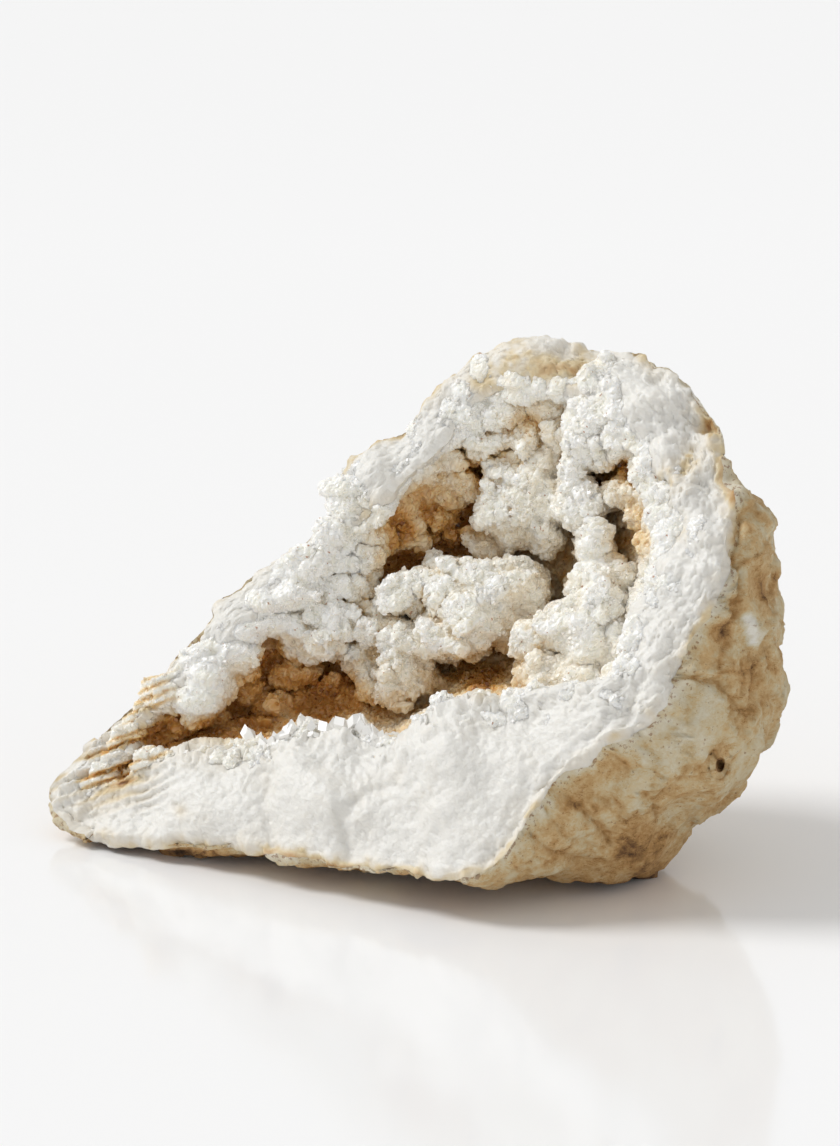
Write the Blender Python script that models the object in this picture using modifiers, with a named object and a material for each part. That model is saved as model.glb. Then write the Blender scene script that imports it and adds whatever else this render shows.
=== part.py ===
"""Half of a broken calcite geode, lying on its rounded back with the hollow facing the viewer.

Two pieces: the thick stone wall, tan rind outside and white calcite where it broke, and the crust
of crystals that lines the hollow. Blender script: metres, +Z up, the stone rests on Z = 0.
"""

import math

import bmesh
import bpy
import numpy as np
from mathutils import Vector, noise

MM = 0.001

# The stone is laid out in a tilted frame, square to the way it is looked at: across runs to the
# right, rise runs up the picture and near runs towards the eye. All three are in millimetres.
LOOK_DOWN = math.radians(15)

# The break runs nearly flat through the whole stone: its nearness at the origin, and its slopes.
BREAK_NEAR = 37.0
BREAK_ACROSS = 0.577
BREAK_RISE = -0.56

# The world's origin is this point, under the middle of the stone. What lies lower than the last
# figure is worn flat, so that the stone rests on it.
MIDDLE = np.array((-1.9, 26.4, 3.2))

# The deepest points of the back and of the hollow: across, rise, near.
BACK_POLE = np.array((18.0, 64.0, -70.0))
HOLLOW_POLE = np.array((10.0, 80.0, -54.0))

# The stations go clockwise round the opening from its left tip. Each holds the rim's across and
# rise, the crest's across and rise, and how far the outside swells beyond the rim, in millimetres.
STATIONS = np.array((
    (-104, 23.5, -92, 27, 1),
    (-98, 34.5, -87, 33.5, -2),
    (-85, 48.5, -78, 47.5, -3),
    (-73, 60, -67, 57.5, -4),
    (-62, 74, -56, 68, -6),
    (-47, 88.5, -42, 81, -7),
    (-32, 98.5, -27, 93, -5),
    (-24, 111, -16, 104, -4),
    (-19, 122, -5.5, 114, -4),
    (-5.5, 129, 5.5, 125, -5),
    (5.5, 141, 12.5, 134.5, -5),
    (18, 151.5, 22, 140.5, -6),
    (33.5, 155, 34.5, 140.5, -7),
    (48, 150.5, 47, 137.5, -6),
    (61, 149, 53.5, 136, -5),
    (75, 141, 60, 125, -3),
    (82, 128, 65, 111, 0),
    (84.5, 111, 66.5, 100, 6),
    (85.5, 96, 66, 87.5, 16),
    (81, 80.5, 61.5, 78, 24),
    (72, 66.5, 60, 68, 31),
    (65, 50, 53, 58, 35),
    (50, 40, 40, 54.5, 39),
    (38.5, 32, 26.5, 52.5, 36),
    (29, 19.5, 15.5, 52, 24),
    (16.5, 6, 3, 45.5, 9),
    (0, 5.5, -7, 39, 6),
    (-19.5, 7, -23.5, 41, 8),
    (-39, 10, -43, 38.5, 10),
    (-61, 11, -61, 37, 9),
    (-83, 11.5, -77, 32, 4),
    (-98, 14.5, -87, 28, 2),
))

# The broken face is not quite flat. Swells of it: across, rise, radius and height, in millimetres.
SWELLS = (
    (30, 148, 16, 4), (50, 147, 8, -3), (64, 138, 12, 5), (76, 128, 5, -4), (70, 116, 9, 4),
    (80, 98, 9, 5), (72, 84, 10, 5), (66, 66, 8, 3), (48, 52, 9, 3), (30, 44, 8, -2),
    (30, 34, 9, 3), (8, 38, 9, 4), (12, 18, 10, 2), (-14, 30, 8, -2), (-26, 27, 11, 4),
    (-42, 26, 5, -2), (-56, 26, 11, 3), (-76, 20, 6, -2), (-93, 27, 8, -2), (-80, 53, 8, -2),
    (-58, 74, 9, 2), (-38, 92, 8, 2), (-18, 116, 8, 3), (2, 134, 8, 2),
)

# How square the curves turn from the rim to the back and from the crest to the hollow's floor:
# powers of the cosine across and of the sine in depth. 1 would be an ellipse. The last one sets how
# soon after the rim the outside swells.
BACK_ROUND = 0.7
BACK_DEEPEN = 1.1
SWELL_START = 0.6
HOLLOW_ROUND = 0.75
HOLLOW_DEEPEN = 1.15

# The rind swells away from this point in the stone. Its worn waves have this length and height, and
# it rises to them within this part of its depth behind the rim.
HEART = np.array((14.0, 72.0, -12.0))
RIND_WAVE = 25.0
RIND_DEPTH = 4.0
RIND_START = 1 / 12

# The named bumps show in front only: they fade out over this many millimetres behind nearness 0.
FRONT_FADE = 25.0

# What shows on the rind from the front: across, rise, radius and height, in millimetres.
RIND_BUMPS = (
    (80, 65, 8, 3.0), (73, 56, 5, -2.0), (85, 51, 7, 2.0), (94, 62, 6, 1.5), (66, 38, 9, 2.0),
    (57, 25, 6, 1.5), (47, 24, 5, -2.0), (72, 24, 6, -2.0), (38, 12, 9, 1.5), (63, 11, 7, 2.0),
    (95, 84, 5, -3.0), (92, 74, 4, 2.0), (82, 73, 4, -2.5), (90, 100, 6, 1.5),
)

# The small hole in the rind: across and rise, its radius and depth, the turns and depths of the
# outside between which it lies, and how much of its depth its cutter stands proud of the rind.
HOLE = (81.5, 36.0)
HOLE_RADIUS = 2.2
HOLE_DEPTH = 6.0
HOLE_TURNS = (0.55, 0.8)
HOLE_DEPTHS = (0.05, 0.4)
HOLE_PROUD = 0.4

SEGMENTS = 68
OUTSIDE_RINGS = 18
BREAK_RINGS = 4
HOLLOW_RINGS = 10

# The crust lies this far off the wall, is this thick where it is thinnest, and stands this far
# above the break at most.
CRUST_GAP = 0.4
CRUST_THICK = 3.0
CAP_HEIGHT = 16.0

# How square the cap over the hollow is: powers of the cosine across and of the sine in height.
CAP_ROUND = 0.3
CAP_RISE = 0.4

# The sheet under the lumps reaches this far into the wall until it is trimmed to the gap.
SHEET_ROOT = 4.0

# The lumps melt together at this fineness; then this share of the facets is kept.
MELT = 1.6 * MM
KEPT_SHARE = 0.055


def to_world(points):
    """Points of the tilted frame, in millimetres, as world points in metres."""
    across, rise, near = np.moveaxis(np.asarray(points, float), -1, 0)
    down, level = math.sin(LOOK_DOWN), math.cos(LOOK_DOWN)
    turned = np.stack((across, rise * down - near * level, rise * level + near * down), -1)
    return (turned - MIDDLE) * MM


def near_of_break(across, rise):
    """How near the flat of the break is at a place in the picture, its swells left out."""
    return BREAK_NEAR + BREAK_ACROSS * across + BREAK_RISE * rise


def round_spline(rows, turn):
    """A closed Catmull-Rom spline through the rows, read at each turn from 0 to 1."""
    place = np.asarray(turn) % 1.0 * len(rows)
    first = np.floor(place).astype(int)
    f = (place - first)[..., None]
    a, b, c, d = (rows[(first + k) % len(rows)] for k in (-1, 0, 1, 2))
    return b + 0.5 * f * (c - a + f * (2 * a - 5 * b + 4 * c - d + f * (3 * (b - c) + d - a)))


def rind_relief(skin):
    """How far the rind stands out at places on it: worn waves, and in front the named bumps."""
    places = skin.reshape(-1, 3) / RIND_WAVE
    waves = np.array([noise.fractal(Vector(place), 1.0, 2.0, 3) for place in places])
    relief = waves.reshape(skin.shape[:-1]) * RIND_DEPTH
    facing = np.clip(skin[..., 2] / FRONT_FADE + 1, 0, 1)
    for across, rise, radius, height in RIND_BUMPS:
        away = ((skin[..., 0] - across) ** 2 + (skin[..., 1] - rise) ** 2) / radius ** 2
        relief = relief + height * np.exp(-away) * facing
    return relief


def outside_point(turn, depth):
    """The rind, from the rim at depth 0 to the back pole at depth 1."""
    row = round_spline(STATIONS, turn)
    rim = row[..., 0:2]
    spoke = rim - BACK_POLE[:2]
    reach = np.linalg.norm(spoke, axis=-1)
    angle = depth * math.pi / 2
    swell = row[..., 4] * np.sin(math.pi * depth ** SWELL_START)
    radius = reach * np.cos(angle) ** BACK_ROUND + swell
    flat = BACK_POLE[:2] + spoke / reach[..., None] * radius[..., None]
    rim_near = break_point(turn, np.zeros_like(turn))[..., 2]
    near = rim_near + (BACK_POLE[2] - rim_near) * np.sin(angle) ** BACK_DEEPEN
    skin = np.concatenate((flat, near[..., None]), -1)
    outward = skin - HEART
    outward = outward / np.linalg.norm(outward, axis=-1)[..., None]
    return skin + outward * (rind_relief(skin) * np.clip(depth / RIND_START, 0, 1))[..., None]


def break_point(turn, inward):
    """The broken face of the wall, from the rim at 0 to the crest of the hollow at 1."""
    row = round_spline(STATIONS, turn)
    flat = row[..., 0:2] * (1 - inward[..., None]) + row[..., 2:4] * inward[..., None]
    near = near_of_break(flat[..., 0], flat[..., 1])
    for across, rise, radius, height in SWELLS:
        away = ((flat[..., 0] - across) ** 2 + (flat[..., 1] - rise) ** 2) / radius ** 2
        near = near + height * np.exp(-away)
    return np.concatenate((flat, near[..., None]), -1)


def hollow_point(turn, depth):
    """The wall behind the crystals, from the crest at depth 0 to the hollow's pole at depth 1."""
    crest = break_point(turn, np.ones_like(turn))
    angle = depth[..., None] * math.pi / 2
    flat = HOLLOW_POLE[:2] + (crest[..., :2] - HOLLOW_POLE[:2]) * np.cos(angle) ** HOLLOW_ROUND
    near = crest[..., 2:] + (HOLLOW_POLE[2] - crest[..., 2:]) * np.sin(angle) ** HOLLOW_DEEPEN
    return np.concatenate((flat, near), -1)


def wall_point(turn, sweep):
    """The whole wall: from the back pole at sweep 0 over rim and crest to the hollow's pole."""
    rings = OUTSIDE_RINGS + BREAK_RINGS + HOLLOW_RINGS
    ring = sweep * rings
    out = 1 - np.clip(ring / OUTSIDE_RINGS, 0, 1)
    over = np.clip((ring - OUTSIDE_RINGS) / BREAK_RINGS, 0, 1)
    down = np.clip((ring - OUTSIDE_RINGS - BREAK_RINGS) / HOLLOW_RINGS, 0, 1)
    behind = (ring < OUTSIDE_RINGS)[..., None]
    within = (ring > OUTSIDE_RINGS + BREAK_RINGS)[..., None]
    points = np.where(behind, outside_point(turn, out), break_point(turn, over))
    return np.where(within, hollow_point(turn, down), points)


def shaped_sphere(name, rings, shape):
    """A UV sphere whose latitude and longitude are the sweep and turn of a shape, flat on the floor."""
    bpy.ops.mesh.primitive_uv_sphere_add(segments=SEGMENTS, ring_count=rings)
    ball = bpy.context.object
    ball.name = ball.data.name = name
    xyz = np.array([v.co for v in ball.data.vertices])
    turn = np.arctan2(-xyz[:, 1], xyz[:, 0]) / (2 * math.pi)
    sweep = np.arccos(np.clip(-xyz[:, 2], -1, 1)) / math.pi
    moved = to_world(shape(turn, sweep))
    moved[:, 2] = np.maximum(moved[:, 2], 0.0)
    ball.data.vertices.foreach_set("co", moved.astype(np.float32).ravel())
    ball.data.update()
    return ball


def hollow_normal(turn, depth):
    """The way out of the wall into the hollow, at right angles to the hollow's surface."""
    step = 0.002
    low, high = np.clip(depth - step, 0, 1 - 2 * step), np.clip(depth + step, 2 * step, 1 - step)
    along = hollow_point(turn, high) - hollow_point(turn, low)
    round_it = hollow_point(turn + step, (low + high) / 2) - hollow_point(turn - step, (low + high) / 2)
    normal = np.cross(along, round_it)
    normal = normal / np.linalg.norm(normal, axis=-1)[..., None]
    return normal * np.sign(normal[..., 2:])


def lining_point(turn, depth, lift):
    """A point that stands lift millimetres off the hollow's wall."""
    return hollow_point(turn, depth) + hollow_normal(turn, depth) * lift


def crust_sheet_point(turn, sweep):
    """A sheet over the hollow's wall: its back from pole to crest, then its front back to the pole."""
    back = lining_point(turn, 1 - np.clip(sweep * 2, 0, 1), -SHEET_ROOT)
    front = lining_point(turn, np.clip(sweep * 2 - 1, 0, 1), CRUST_THICK)
    return np.where((sweep > 0.5)[..., None], front, back)


def hollow_fill_point(turn, sweep):
    """All that the hollow can hold: the wall's own surface behind, a high cap in front."""
    back = lining_point(turn, 1 - np.clip(sweep * 2, 0, 1), CRUST_GAP)
    edge = lining_point(turn, np.zeros_like(turn), CRUST_GAP)
    angle = np.clip(sweep * 2 - 1, 0, 1)[..., None] * math.pi / 2
    pole = HOLLOW_POLE.copy()
    pole[2] = near_of_break(*HOLLOW_POLE[:2])
    out = np.array((-BREAK_ACROSS, -BREAK_RISE, 1.0))
    cap = pole + (edge - pole) * np.cos(angle) ** CAP_ROUND
    cap = cap + out * CAP_HEIGHT * np.sin(angle) ** CAP_RISE
    return np.where((sweep > 0.5)[..., None], cap, back)


# Lumps of crystal: across, rise, how near the front comes, and half-sizes across and up.
LUMPS = (
    # knobs under the top lobe, then the knobbly patch below them
    (22, 139, -29, 5, 5), (14, 138, -32, 5, 4), (32, 139, -30, 5, 3), (40, 139, -29, 5, 4),
    (48, 140, -20, 6, 4), (13, 131, -34, 7, 6), (20, 126, -37, 7, 5), (25, 134, -34, 7, 6),
    (37, 133, -32, 7, 6), (31, 126, -35, 8, 5), (40, 126, -29, 5, 5), (35, 120, -35, 5, 4),
    # the ledge along the upper left rim and the shaded slope under it
    (-12, 115, -31, 10, 6), (-2, 118, -32, 10, 6), (5, 126, -31, 6, 6), (7, 120, -35, 5, 4),
    (-20, 110, -30, 6, 6), (-8, 108, -38, 11, 5), (5, 111, -41, 8, 5), (-20, 103, -31, 7, 5),
    # the mass between the brown pockets and the right wall
    (25, 114, -29, 7, 6), (32, 108, -23, 8, 8), (22, 107, -27, 6, 6), (36, 116, -28, 5, 6),
    (35, 99, -25, 6, 5), (27, 101, -28, 6, 5), (20, 96, -37, 6, 4), (38, 107, -22, 4, 5),
    # round the two brown pockets
    (-25, 97, -27, 6, 5), (-14, 98, -32, 7, 5), (-3, 99, -38, 5, 4), (3, 103, -41, 4, 4),
    (-28, 89, -27, 8, 5), (-18, 91, -31, 6, 5), (7, 96, -41, 4, 3),
    # the broad slope that falls away from the left rim
    (-34, 80, -28, 10, 7), (-20, 82, -27, 10, 7), (-6, 81, -26, 9, 6), (-24, 73, -28, 9, 6),
    (-9, 74, -25, 9, 6), (-44, 81, -29, 6, 5), (-48, 72, -31, 9, 6), (-36, 71, -30, 8, 6),
    (-57, 67, -32, 6, 5),
    # the big rounded mass in the middle, and its foot
    (22, 84, -13, 15, 8), (10, 81, -17, 8, 8), (33, 83, -17, 8, 8), (17, 75, -11, 11, 7),
    (7, 88, -28, 6, 4), (28, 74, -15, 8, 7), (4, 71, -15, 7, 6), (-3, 67, -19, 7, 6),
    (10, 67, -13, 10, 6), (-5, 61, -23, 7, 5), (3, 58, -21, 8, 5), (-13, 57, -30, 4, 5),
    (-6, 54, -24, 5, 5),
    # what hangs over the long pocket at the left, and two knobs inside it
    (-60, 58, -28, 8, 7), (-63, 52, -28, 6, 6), (-52, 65, -30, 8, 6), (-72, 54, -32, 7, 5),
    (-28, 68, -29, 8, 5), (-17, 66, -28, 7, 5), (-14, 61, -32, 5, 4), (-42, 49, -41, 4, 4),
    (-25, 53, -43, 5, 4), (-71, 44, -42, 6, 4), (-59, 46, -43, 6, 4), (-50, 54, -43, 6, 5),
    (-36, 60, -44, 6, 5), (-33, 49, -46, 6, 4), (-16, 49, -38, 5, 4), (-46, 43, -36, 5, 3),
    # the column and the sparkling mass on the right wall
    (48, 95, 2, 4, 7), (50, 85, 6, 6, 8), (44, 84, 0, 3, 3), (55, 90, 4, 6, 8), (40, 73, 8, 8, 7),
    (33, 70, 2, 5, 5), (34, 61, 6, 6, 5), (47, 69, 14, 8, 9), (51, 77, 12, 8, 8),
    (44, 61, 10, 8, 6), (55, 67, 16, 6, 7),
    # the upper right wall, with two brown pits left open in it
    (52, 141, -6, 8, 7), (50, 132, -4, 8, 8), (46, 124, -6, 6, 6), (43, 115, -9, 4, 8),
    (44, 106, -8, 5, 8), (56, 134, 0, 7, 9), (57, 126, 2, 6, 7), (51, 122, -5, 6, 4),
    (57, 110, -2, 6, 3), (49, 104, -7, 4, 6), (63, 108, 5, 5, 7), (66, 100, 12, 5, 7),
    (63, 118, 4, 4, 7), (42, 98, -10, 5, 4), (64, 92, 14, 4, 6),
    # the druse that crowns the front lip
    (-76, 34, -28, 5, 3), (-65, 38, -23, 6, 3), (-54, 39, -18, 6, 3), (-41, 39, -10, 5, 3),
    (-32, 43, -8, 5, 4), (-18, 44, -1, 7, 4), (4, 46, 11, 5, 4), (14, 52, 14, 5, 4),
    (28, 53, 21, 5, 4), (41, 56, 26, 6, 3), (52, 59, 31, 4, 4),
)

# A lump's half-size towards the viewer, as a share of its other two half-sizes together.
LUMP_NEARNESS = 0.6

# Pointed crystals big enough to see as such: how many stand on the lumps and along the crest, and
# the least and most of their length and of their half-width, in millimetres.
LUMP_CRYSTALS = 60
CREST_CRYSTALS = 80
CRYSTAL_LENGTH = (4.0, 6.5)
CRYSTAL_WIDTH = (1.6, 2.6)
CRYSTAL_SEED = 11

# The band below the crest, as parts of the way down to the pole, in which crest crystals stand, and
# how far off the wall their feet are. Those on lumps have their feet this share of the way out.
CREST_BAND = (0.09, 0.24)
CREST_FOOT = 1.0
LUMP_FOOT = 0.8


def wall_near(across, rise):
    """How near the wall behind the crystals is, at a place in the picture."""
    turns = np.linspace(0, 1, 257)
    crest = break_point(turns, np.ones_like(turns))[:, :2] - HOLLOW_POLE[:2]
    bearing = np.unwrap(np.arctan2(crest[:, 1], crest[:, 0]))
    aim = np.array((across, rise)) - HOLLOW_POLE[:2]
    heading = math.atan2(aim[1], aim[0])
    while heading > bearing[0]:
        heading -= 2 * math.pi
    while heading < bearing[-1]:
        heading += 2 * math.pi
    turn = np.interp(heading, bearing[::-1], turns[::-1])
    edge = break_point(turn, np.ones(1)[0])[:2] - HOLLOW_POLE[:2]
    part = min(math.hypot(*aim) / math.hypot(*edge), 1.0)
    depth = math.acos(part ** (1 / HOLLOW_ROUND)) * 2 / math.pi
    return float(hollow_point(turn, np.array(depth))[2])


def object_of(mesh, name):
    made = bpy.data.objects.new(name, bpy.data.meshes.new(name))
    mesh.to_mesh(made.data)
    bpy.context.collection.objects.link(made)
    return made


def lumps(name):
    """All the lumps as rounded balls, each drawn out backwards until it is rooted in the sheet."""
    mesh = bmesh.new()
    for across, rise, front, half_across, half_up in LUMPS:
        half_near = (half_across + half_up) * LUMP_NEARNESS
        near = front - half_near
        root = max(near - wall_near(across, rise), half_near)
        ball = bmesh.ops.create_icosphere(mesh, subdivisions=2, radius=1.0)
        for vert in ball["verts"]:
            x, y, z = vert.co
            reach = half_near if z > 0 else root
            spot = (across + x * half_across, rise + y * half_up, near + z * reach)
            vert.co = Vector(to_world(spot))
    return object_of(mesh, name)


def crystal(mesh, foot, aim, width, length, spin):
    """One six-sided pointed crystal that stands on foot and points along aim, tilted frame."""
    aim = aim / np.linalg.norm(aim)
    side = np.cross(aim, (0.31, 0.95, 0.05))
    side = side / np.linalg.norm(side)
    other = np.cross(aim, side)
    turns = spin + np.arange(6) * math.pi / 3
    ring = foot + width * (np.cos(turns)[:, None] * side + np.sin(turns)[:, None] * other)
    verts = [mesh.verts.new(to_world(place)) for place in ring]
    tip = mesh.verts.new(to_world(foot + aim * length))
    mesh.faces.new(verts)
    for k in range(6):
        mesh.faces.new((verts[k], tip, verts[(k + 1) % 6]))


def crystals(name):
    """The pointed crystals in one mesh, on the lumps and along the crest, none touching another."""
    rng = np.random.default_rng(CRYSTAL_SEED)
    stands = []
    turns = (np.arange(CREST_CRYSTALS) + rng.uniform(-0.5, 0.5, CREST_CRYSTALS)) / CREST_CRYSTALS
    for turn in rng.permutation(turns):
        depth = np.array(rng.uniform(*CREST_BAND))
        foot = lining_point(turn, depth, CREST_FOOT)
        # out of the wall, a little up and towards the viewer, each one askew
        aim = hollow_normal(turn, depth) * 0.6 + (0, 0.4, 1) + rng.normal(0, 0.35, 3)
        stands.append((foot, aim))
    for pick in rng.choice(len(LUMPS), LUMP_CRYSTALS, replace=False):
        across, rise, front, half_across, half_up = LUMPS[pick]
        half_near = (half_across + half_up) * LUMP_NEARNESS
        aim = rng.normal(0, 0.6, 3) + (0, 0.3, 1)
        aim = aim / np.linalg.norm(aim)
        centre = np.array((across, rise, front - half_near))
        foot = centre + aim * (half_across, half_up, half_near) * LUMP_FOOT
        stands.append((foot, aim))
    mesh = bmesh.new()
    taken = []
    for foot, aim in stands:
        middle = foot + aim / np.linalg.norm(aim) * CRYSTAL_LENGTH[1] / 2
        if all(np.linalg.norm(middle - other) > CRYSTAL_LENGTH[1] for other in taken):
            taken.append(middle)
            length = rng.uniform(*CRYSTAL_LENGTH) + 1
            crystal(mesh, foot, aim, rng.uniform(*CRYSTAL_WIDTH), length, rng.uniform(0, 1))
    bmesh.ops.recalc_face_normals(mesh, faces=mesh.faces)
    return object_of(mesh, name)


def hole_cutter(name):
    """A short cone that bores the small hole, square to the rind where it opens."""
    across, rise = HOLE
    turns, depths = np.meshgrid(np.linspace(*HOLE_TURNS, 60), np.linspace(*HOLE_DEPTHS, 60))
    skin = outside_point(turns, depths).reshape(-1, 3)
    mouth = skin[np.argmin((skin[:, 0] - across) ** 2 + (skin[:, 1] - rise) ** 2)]
    outward = (mouth - HEART) / np.linalg.norm(mouth - HEART)
    # the cone starts proud of the rind, and is that much wider and longer there
    proud = HOLE_DEPTH * HOLE_PROUD
    mesh = bmesh.new()
    crystal(mesh, mouth + outward * proud, -outward, HOLE_RADIUS * (1 + HOLE_PROUD),
            HOLE_DEPTH + proud, 0.0)
    bmesh.ops.recalc_face_normals(mesh, faces=mesh.faces)
    return object_of(mesh, name)


def modify(target, kind, **settings):
    change = target.modifiers.new(kind.lower(), kind)
    for key, value in settings.items():
        setattr(change, key, value)


def material(name, colour, roughness):
    made = bpy.data.materials.new(name)
    made.use_nodes = True
    surface = made.node_tree.nodes["Principled BSDF"]
    surface.inputs["Base Color"].default_value = (*colour, 1.0)
    surface.inputs["Roughness"].default_value = roughness
    surface.inputs["Metallic"].default_value = 0.0
    return made


def keep_in(collection, item):
    for old_home in list(item.users_collection):
        old_home.objects.unlink(item)
    collection.objects.link(item)


def cutter_in(collection, item):
    keep_in(collection, item)
    item.hide_render = True
    item.display_type = "WIRE"


for old in list(bpy.data.objects):
    bpy.data.objects.remove(old)

geode = bpy.data.collections.new("calcite_geode")
cutters = bpy.data.collections.new("cutters")
bpy.context.scene.collection.children.link(geode)
bpy.context.scene.collection.children.link(cutters)

# The wall: rind, broken face and the back of the hollow in one skin.
wall = shaped_sphere("stone_wall", OUTSIDE_RINGS + BREAK_RINGS + HOLLOW_RINGS, wall_point)
hole = hole_cutter("hole_cutter")
modify(wall, "BOOLEAN", operation="DIFFERENCE", solver="EXACT", object=hole)
wall.data.materials.append(material("cream_limestone", (0.62, 0.52, 0.38), 0.85))
keep_in(geode, wall)
cutter_in(cutters, hole)

# The crust: the sheet and the lumps melt together, the crystals grow out of them, and all of it is
# kept within the hollow.
fill = shaped_sphere("hollow_fill", 2 * HOLLOW_RINGS, hollow_fill_point)
points = crystals("crystal_points")
crust = shaped_sphere("crystal_crust", 2 * HOLLOW_RINGS, crust_sheet_point)
balls = lumps("crust_lumps")
bpy.ops.object.select_all(action="DESELECT")
balls.select_set(True)
crust.select_set(True)
bpy.context.view_layer.objects.active = crust
bpy.ops.object.join()
modify(crust, "REMESH", mode="VOXEL", voxel_size=MELT)
modify(crust, "DECIMATE", ratio=KEPT_SHARE)
modify(crust, "BOOLEAN", operation="UNION", solver="EXACT", object=points)
modify(crust, "BOOLEAN", operation="INTERSECT", solver="EXACT", use_self=True, object=fill)
crust.data.materials.append(material("white_calcite", (0.84, 0.81, 0.76), 0.45))
keep_in(geode, crust)
cutter_in(cutters, points)
cutter_in(cutters, fill)
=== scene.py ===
# %% [markdown]
# # Half of a broken calcite geode
# A geode is a hollow lump of limestone. Water that seeped into it left calcite on the walls, first
# as solid white stone and then as a crust of small crystals, the druse. This one is broken in two
# and lies on its rounded back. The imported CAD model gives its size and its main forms. This script
# builds the same forms again, much finer, and gives them their looks.

import math

import bpy
import numpy as np
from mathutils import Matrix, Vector, noise
from mathutils.bvhtree import BVHTree


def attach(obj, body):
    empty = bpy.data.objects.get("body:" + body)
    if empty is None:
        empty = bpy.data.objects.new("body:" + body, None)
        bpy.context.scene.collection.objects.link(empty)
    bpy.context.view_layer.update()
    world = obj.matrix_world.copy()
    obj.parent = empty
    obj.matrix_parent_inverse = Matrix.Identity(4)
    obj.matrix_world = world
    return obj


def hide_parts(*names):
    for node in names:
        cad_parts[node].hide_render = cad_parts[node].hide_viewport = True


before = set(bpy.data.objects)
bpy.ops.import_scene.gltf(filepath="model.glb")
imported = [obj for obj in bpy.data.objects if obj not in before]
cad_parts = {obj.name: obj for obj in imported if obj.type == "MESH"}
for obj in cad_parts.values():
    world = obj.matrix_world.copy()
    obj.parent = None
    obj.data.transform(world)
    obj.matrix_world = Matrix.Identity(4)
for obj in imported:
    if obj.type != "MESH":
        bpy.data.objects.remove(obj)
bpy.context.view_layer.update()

# %% [markdown]
# The stone is easiest to lay out square to the way it is looked at, so its own frame is tilted:
# across runs to the right, rise runs up the picture and near runs towards the eye, all in
# millimetres. One function turns such points into the model's metres. The other way would be to
# place everything in the model's own axes, but then no number could be read off the picture.

# %% The stone's own frame
MM = 0.001
LOOK_DOWN = math.radians(15)
MIDDLE = np.array((-1.9, 26.4, 3.2))
LEVEL = math.cos(LOOK_DOWN)
DOWN = math.sin(LOOK_DOWN)


def to_world(points):
    """Points of the stone's frame in the model's metres."""
    across, rise, near = np.moveaxis(np.asarray(points, float), -1, 0)
    turned = np.stack((across, rise * DOWN - near * LEVEL, rise * LEVEL + near * DOWN), -1)
    return (turned - MIDDLE) * MM


print("the stone's frame has its zero at", to_world((0, 0, 0)).round(4), "m")

# %% [markdown]
# The outline of the opening was read off the photograph at 32 stations. Each row holds the outer
# rim of the broken face (across and rise), its inner edge above the hollow, which is called the
# crest here, and how far the outside bulges behind it. A smooth curve through the rows gives any
# place between them, where turn runs from 0 to 1 once round the opening.

# %% Stations round the opening
BACK_POLE = np.array((18.0, 64.0, -70.0))
HOLLOW_POLE = np.array((10.0, 80.0, -54.0))
STATIONS = np.array((
    (-104, 23.5, -92, 27, 1),
    (-98, 34.5, -87, 33.5, -2),
    (-85, 48.5, -78, 47.5, -3),
    (-73, 60, -67, 57.5, -4),
    (-62, 74, -56, 68, -6),
    (-47, 88.5, -42, 81, -7),
    (-32, 98.5, -27, 93, -5),
    (-24, 111, -16, 104, -4),
    (-19, 122, -5.5, 114, -4),
    (-5.5, 129, 5.5, 125, -5),
    (5.5, 141, 12.5, 134.5, -5),
    (18, 151.5, 22, 140.5, -6),
    (33.5, 155, 34.5, 140.5, -7),
    (48, 150.5, 47, 137.5, -6),
    (61, 149, 53.5, 136, -5),
    (75, 141, 60, 125, -3),
    (82, 128, 65, 111, 0),
    (84.5, 111, 66.5, 100, 6),
    (85.5, 96, 66, 87.5, 16),
    (81, 80.5, 61.5, 78, 24),
    (72, 66.5, 60, 68, 31),
    (65, 50, 53, 58, 35),
    (50, 40, 40, 54.5, 39),
    (38.5, 32, 26.5, 52.5, 36),
    (29, 19.5, 15.5, 52, 19),
    (16.5, 6, 3, 45.5, 4),
    (0, 5.5, -7, 39, 1),
    (-19.5, 7, -23.5, 41, 2),
    (-39, 10, -43, 38.5, 3),
    (-61, 11, -61, 37, 3),
    (-83, 11.5, -77, 32, 4),
    (-98, 14.5, -87, 28, 2),
))


def round_spline(rows, turn):
    """A closed Catmull-Rom curve through rows, read at turns of 0 to 1."""
    place = np.asarray(turn) % 1.0 * len(rows)
    first = np.floor(place).astype(int)
    f = (place - first)[..., None]
    a, b, c, d = (rows[(first + k) % len(rows)] for k in (-1, 0, 1, 2))
    return b + 0.5 * f * (c - a + f * (2 * a - 5 * b + 4 * c - d + f * (3 * (b - c) + d - a)))


print(len(STATIONS), "stations")

# %% [markdown]
# A break through stone is nearly flat, with low swells where it ran round harder places. Seen from
# the camera it slopes, so its nearness is worked out from the place in the picture. The swells are
# round bumps added to a plane. A sculpted mesh could do the same, but not be told in numbers.

# %% The broken face
BREAK_NEAR = 37.0
BREAK_ACROSS = 0.577
BREAK_RISE = -0.56
# across, rise, radius and height in millimetres
SWELLS = (
    (30, 148, 16, 4), (50, 147, 8, -3), (64, 138, 12, 5), (76, 128, 5, -4), (70, 116, 9, 4),
    (80, 98, 9, 5), (72, 84, 10, 5), (66, 66, 8, 3), (48, 52, 9, 3), (30, 44, 8, -2), (30, 34, 9, 3),
    (8, 38, 9, 4), (12, 18, 10, 2), (-14, 30, 8, -2), (-26, 27, 11, 4), (-42, 26, 5, -2),
    (-56, 26, 11, 3), (-76, 20, 6, -2), (-93, 27, 8, -2), (-80, 53, 8, -2), (-58, 74, 9, 2),
    (-38, 92, 8, 2), (-18, 116, 8, 3), (2, 134, 8, 2),
)


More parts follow.
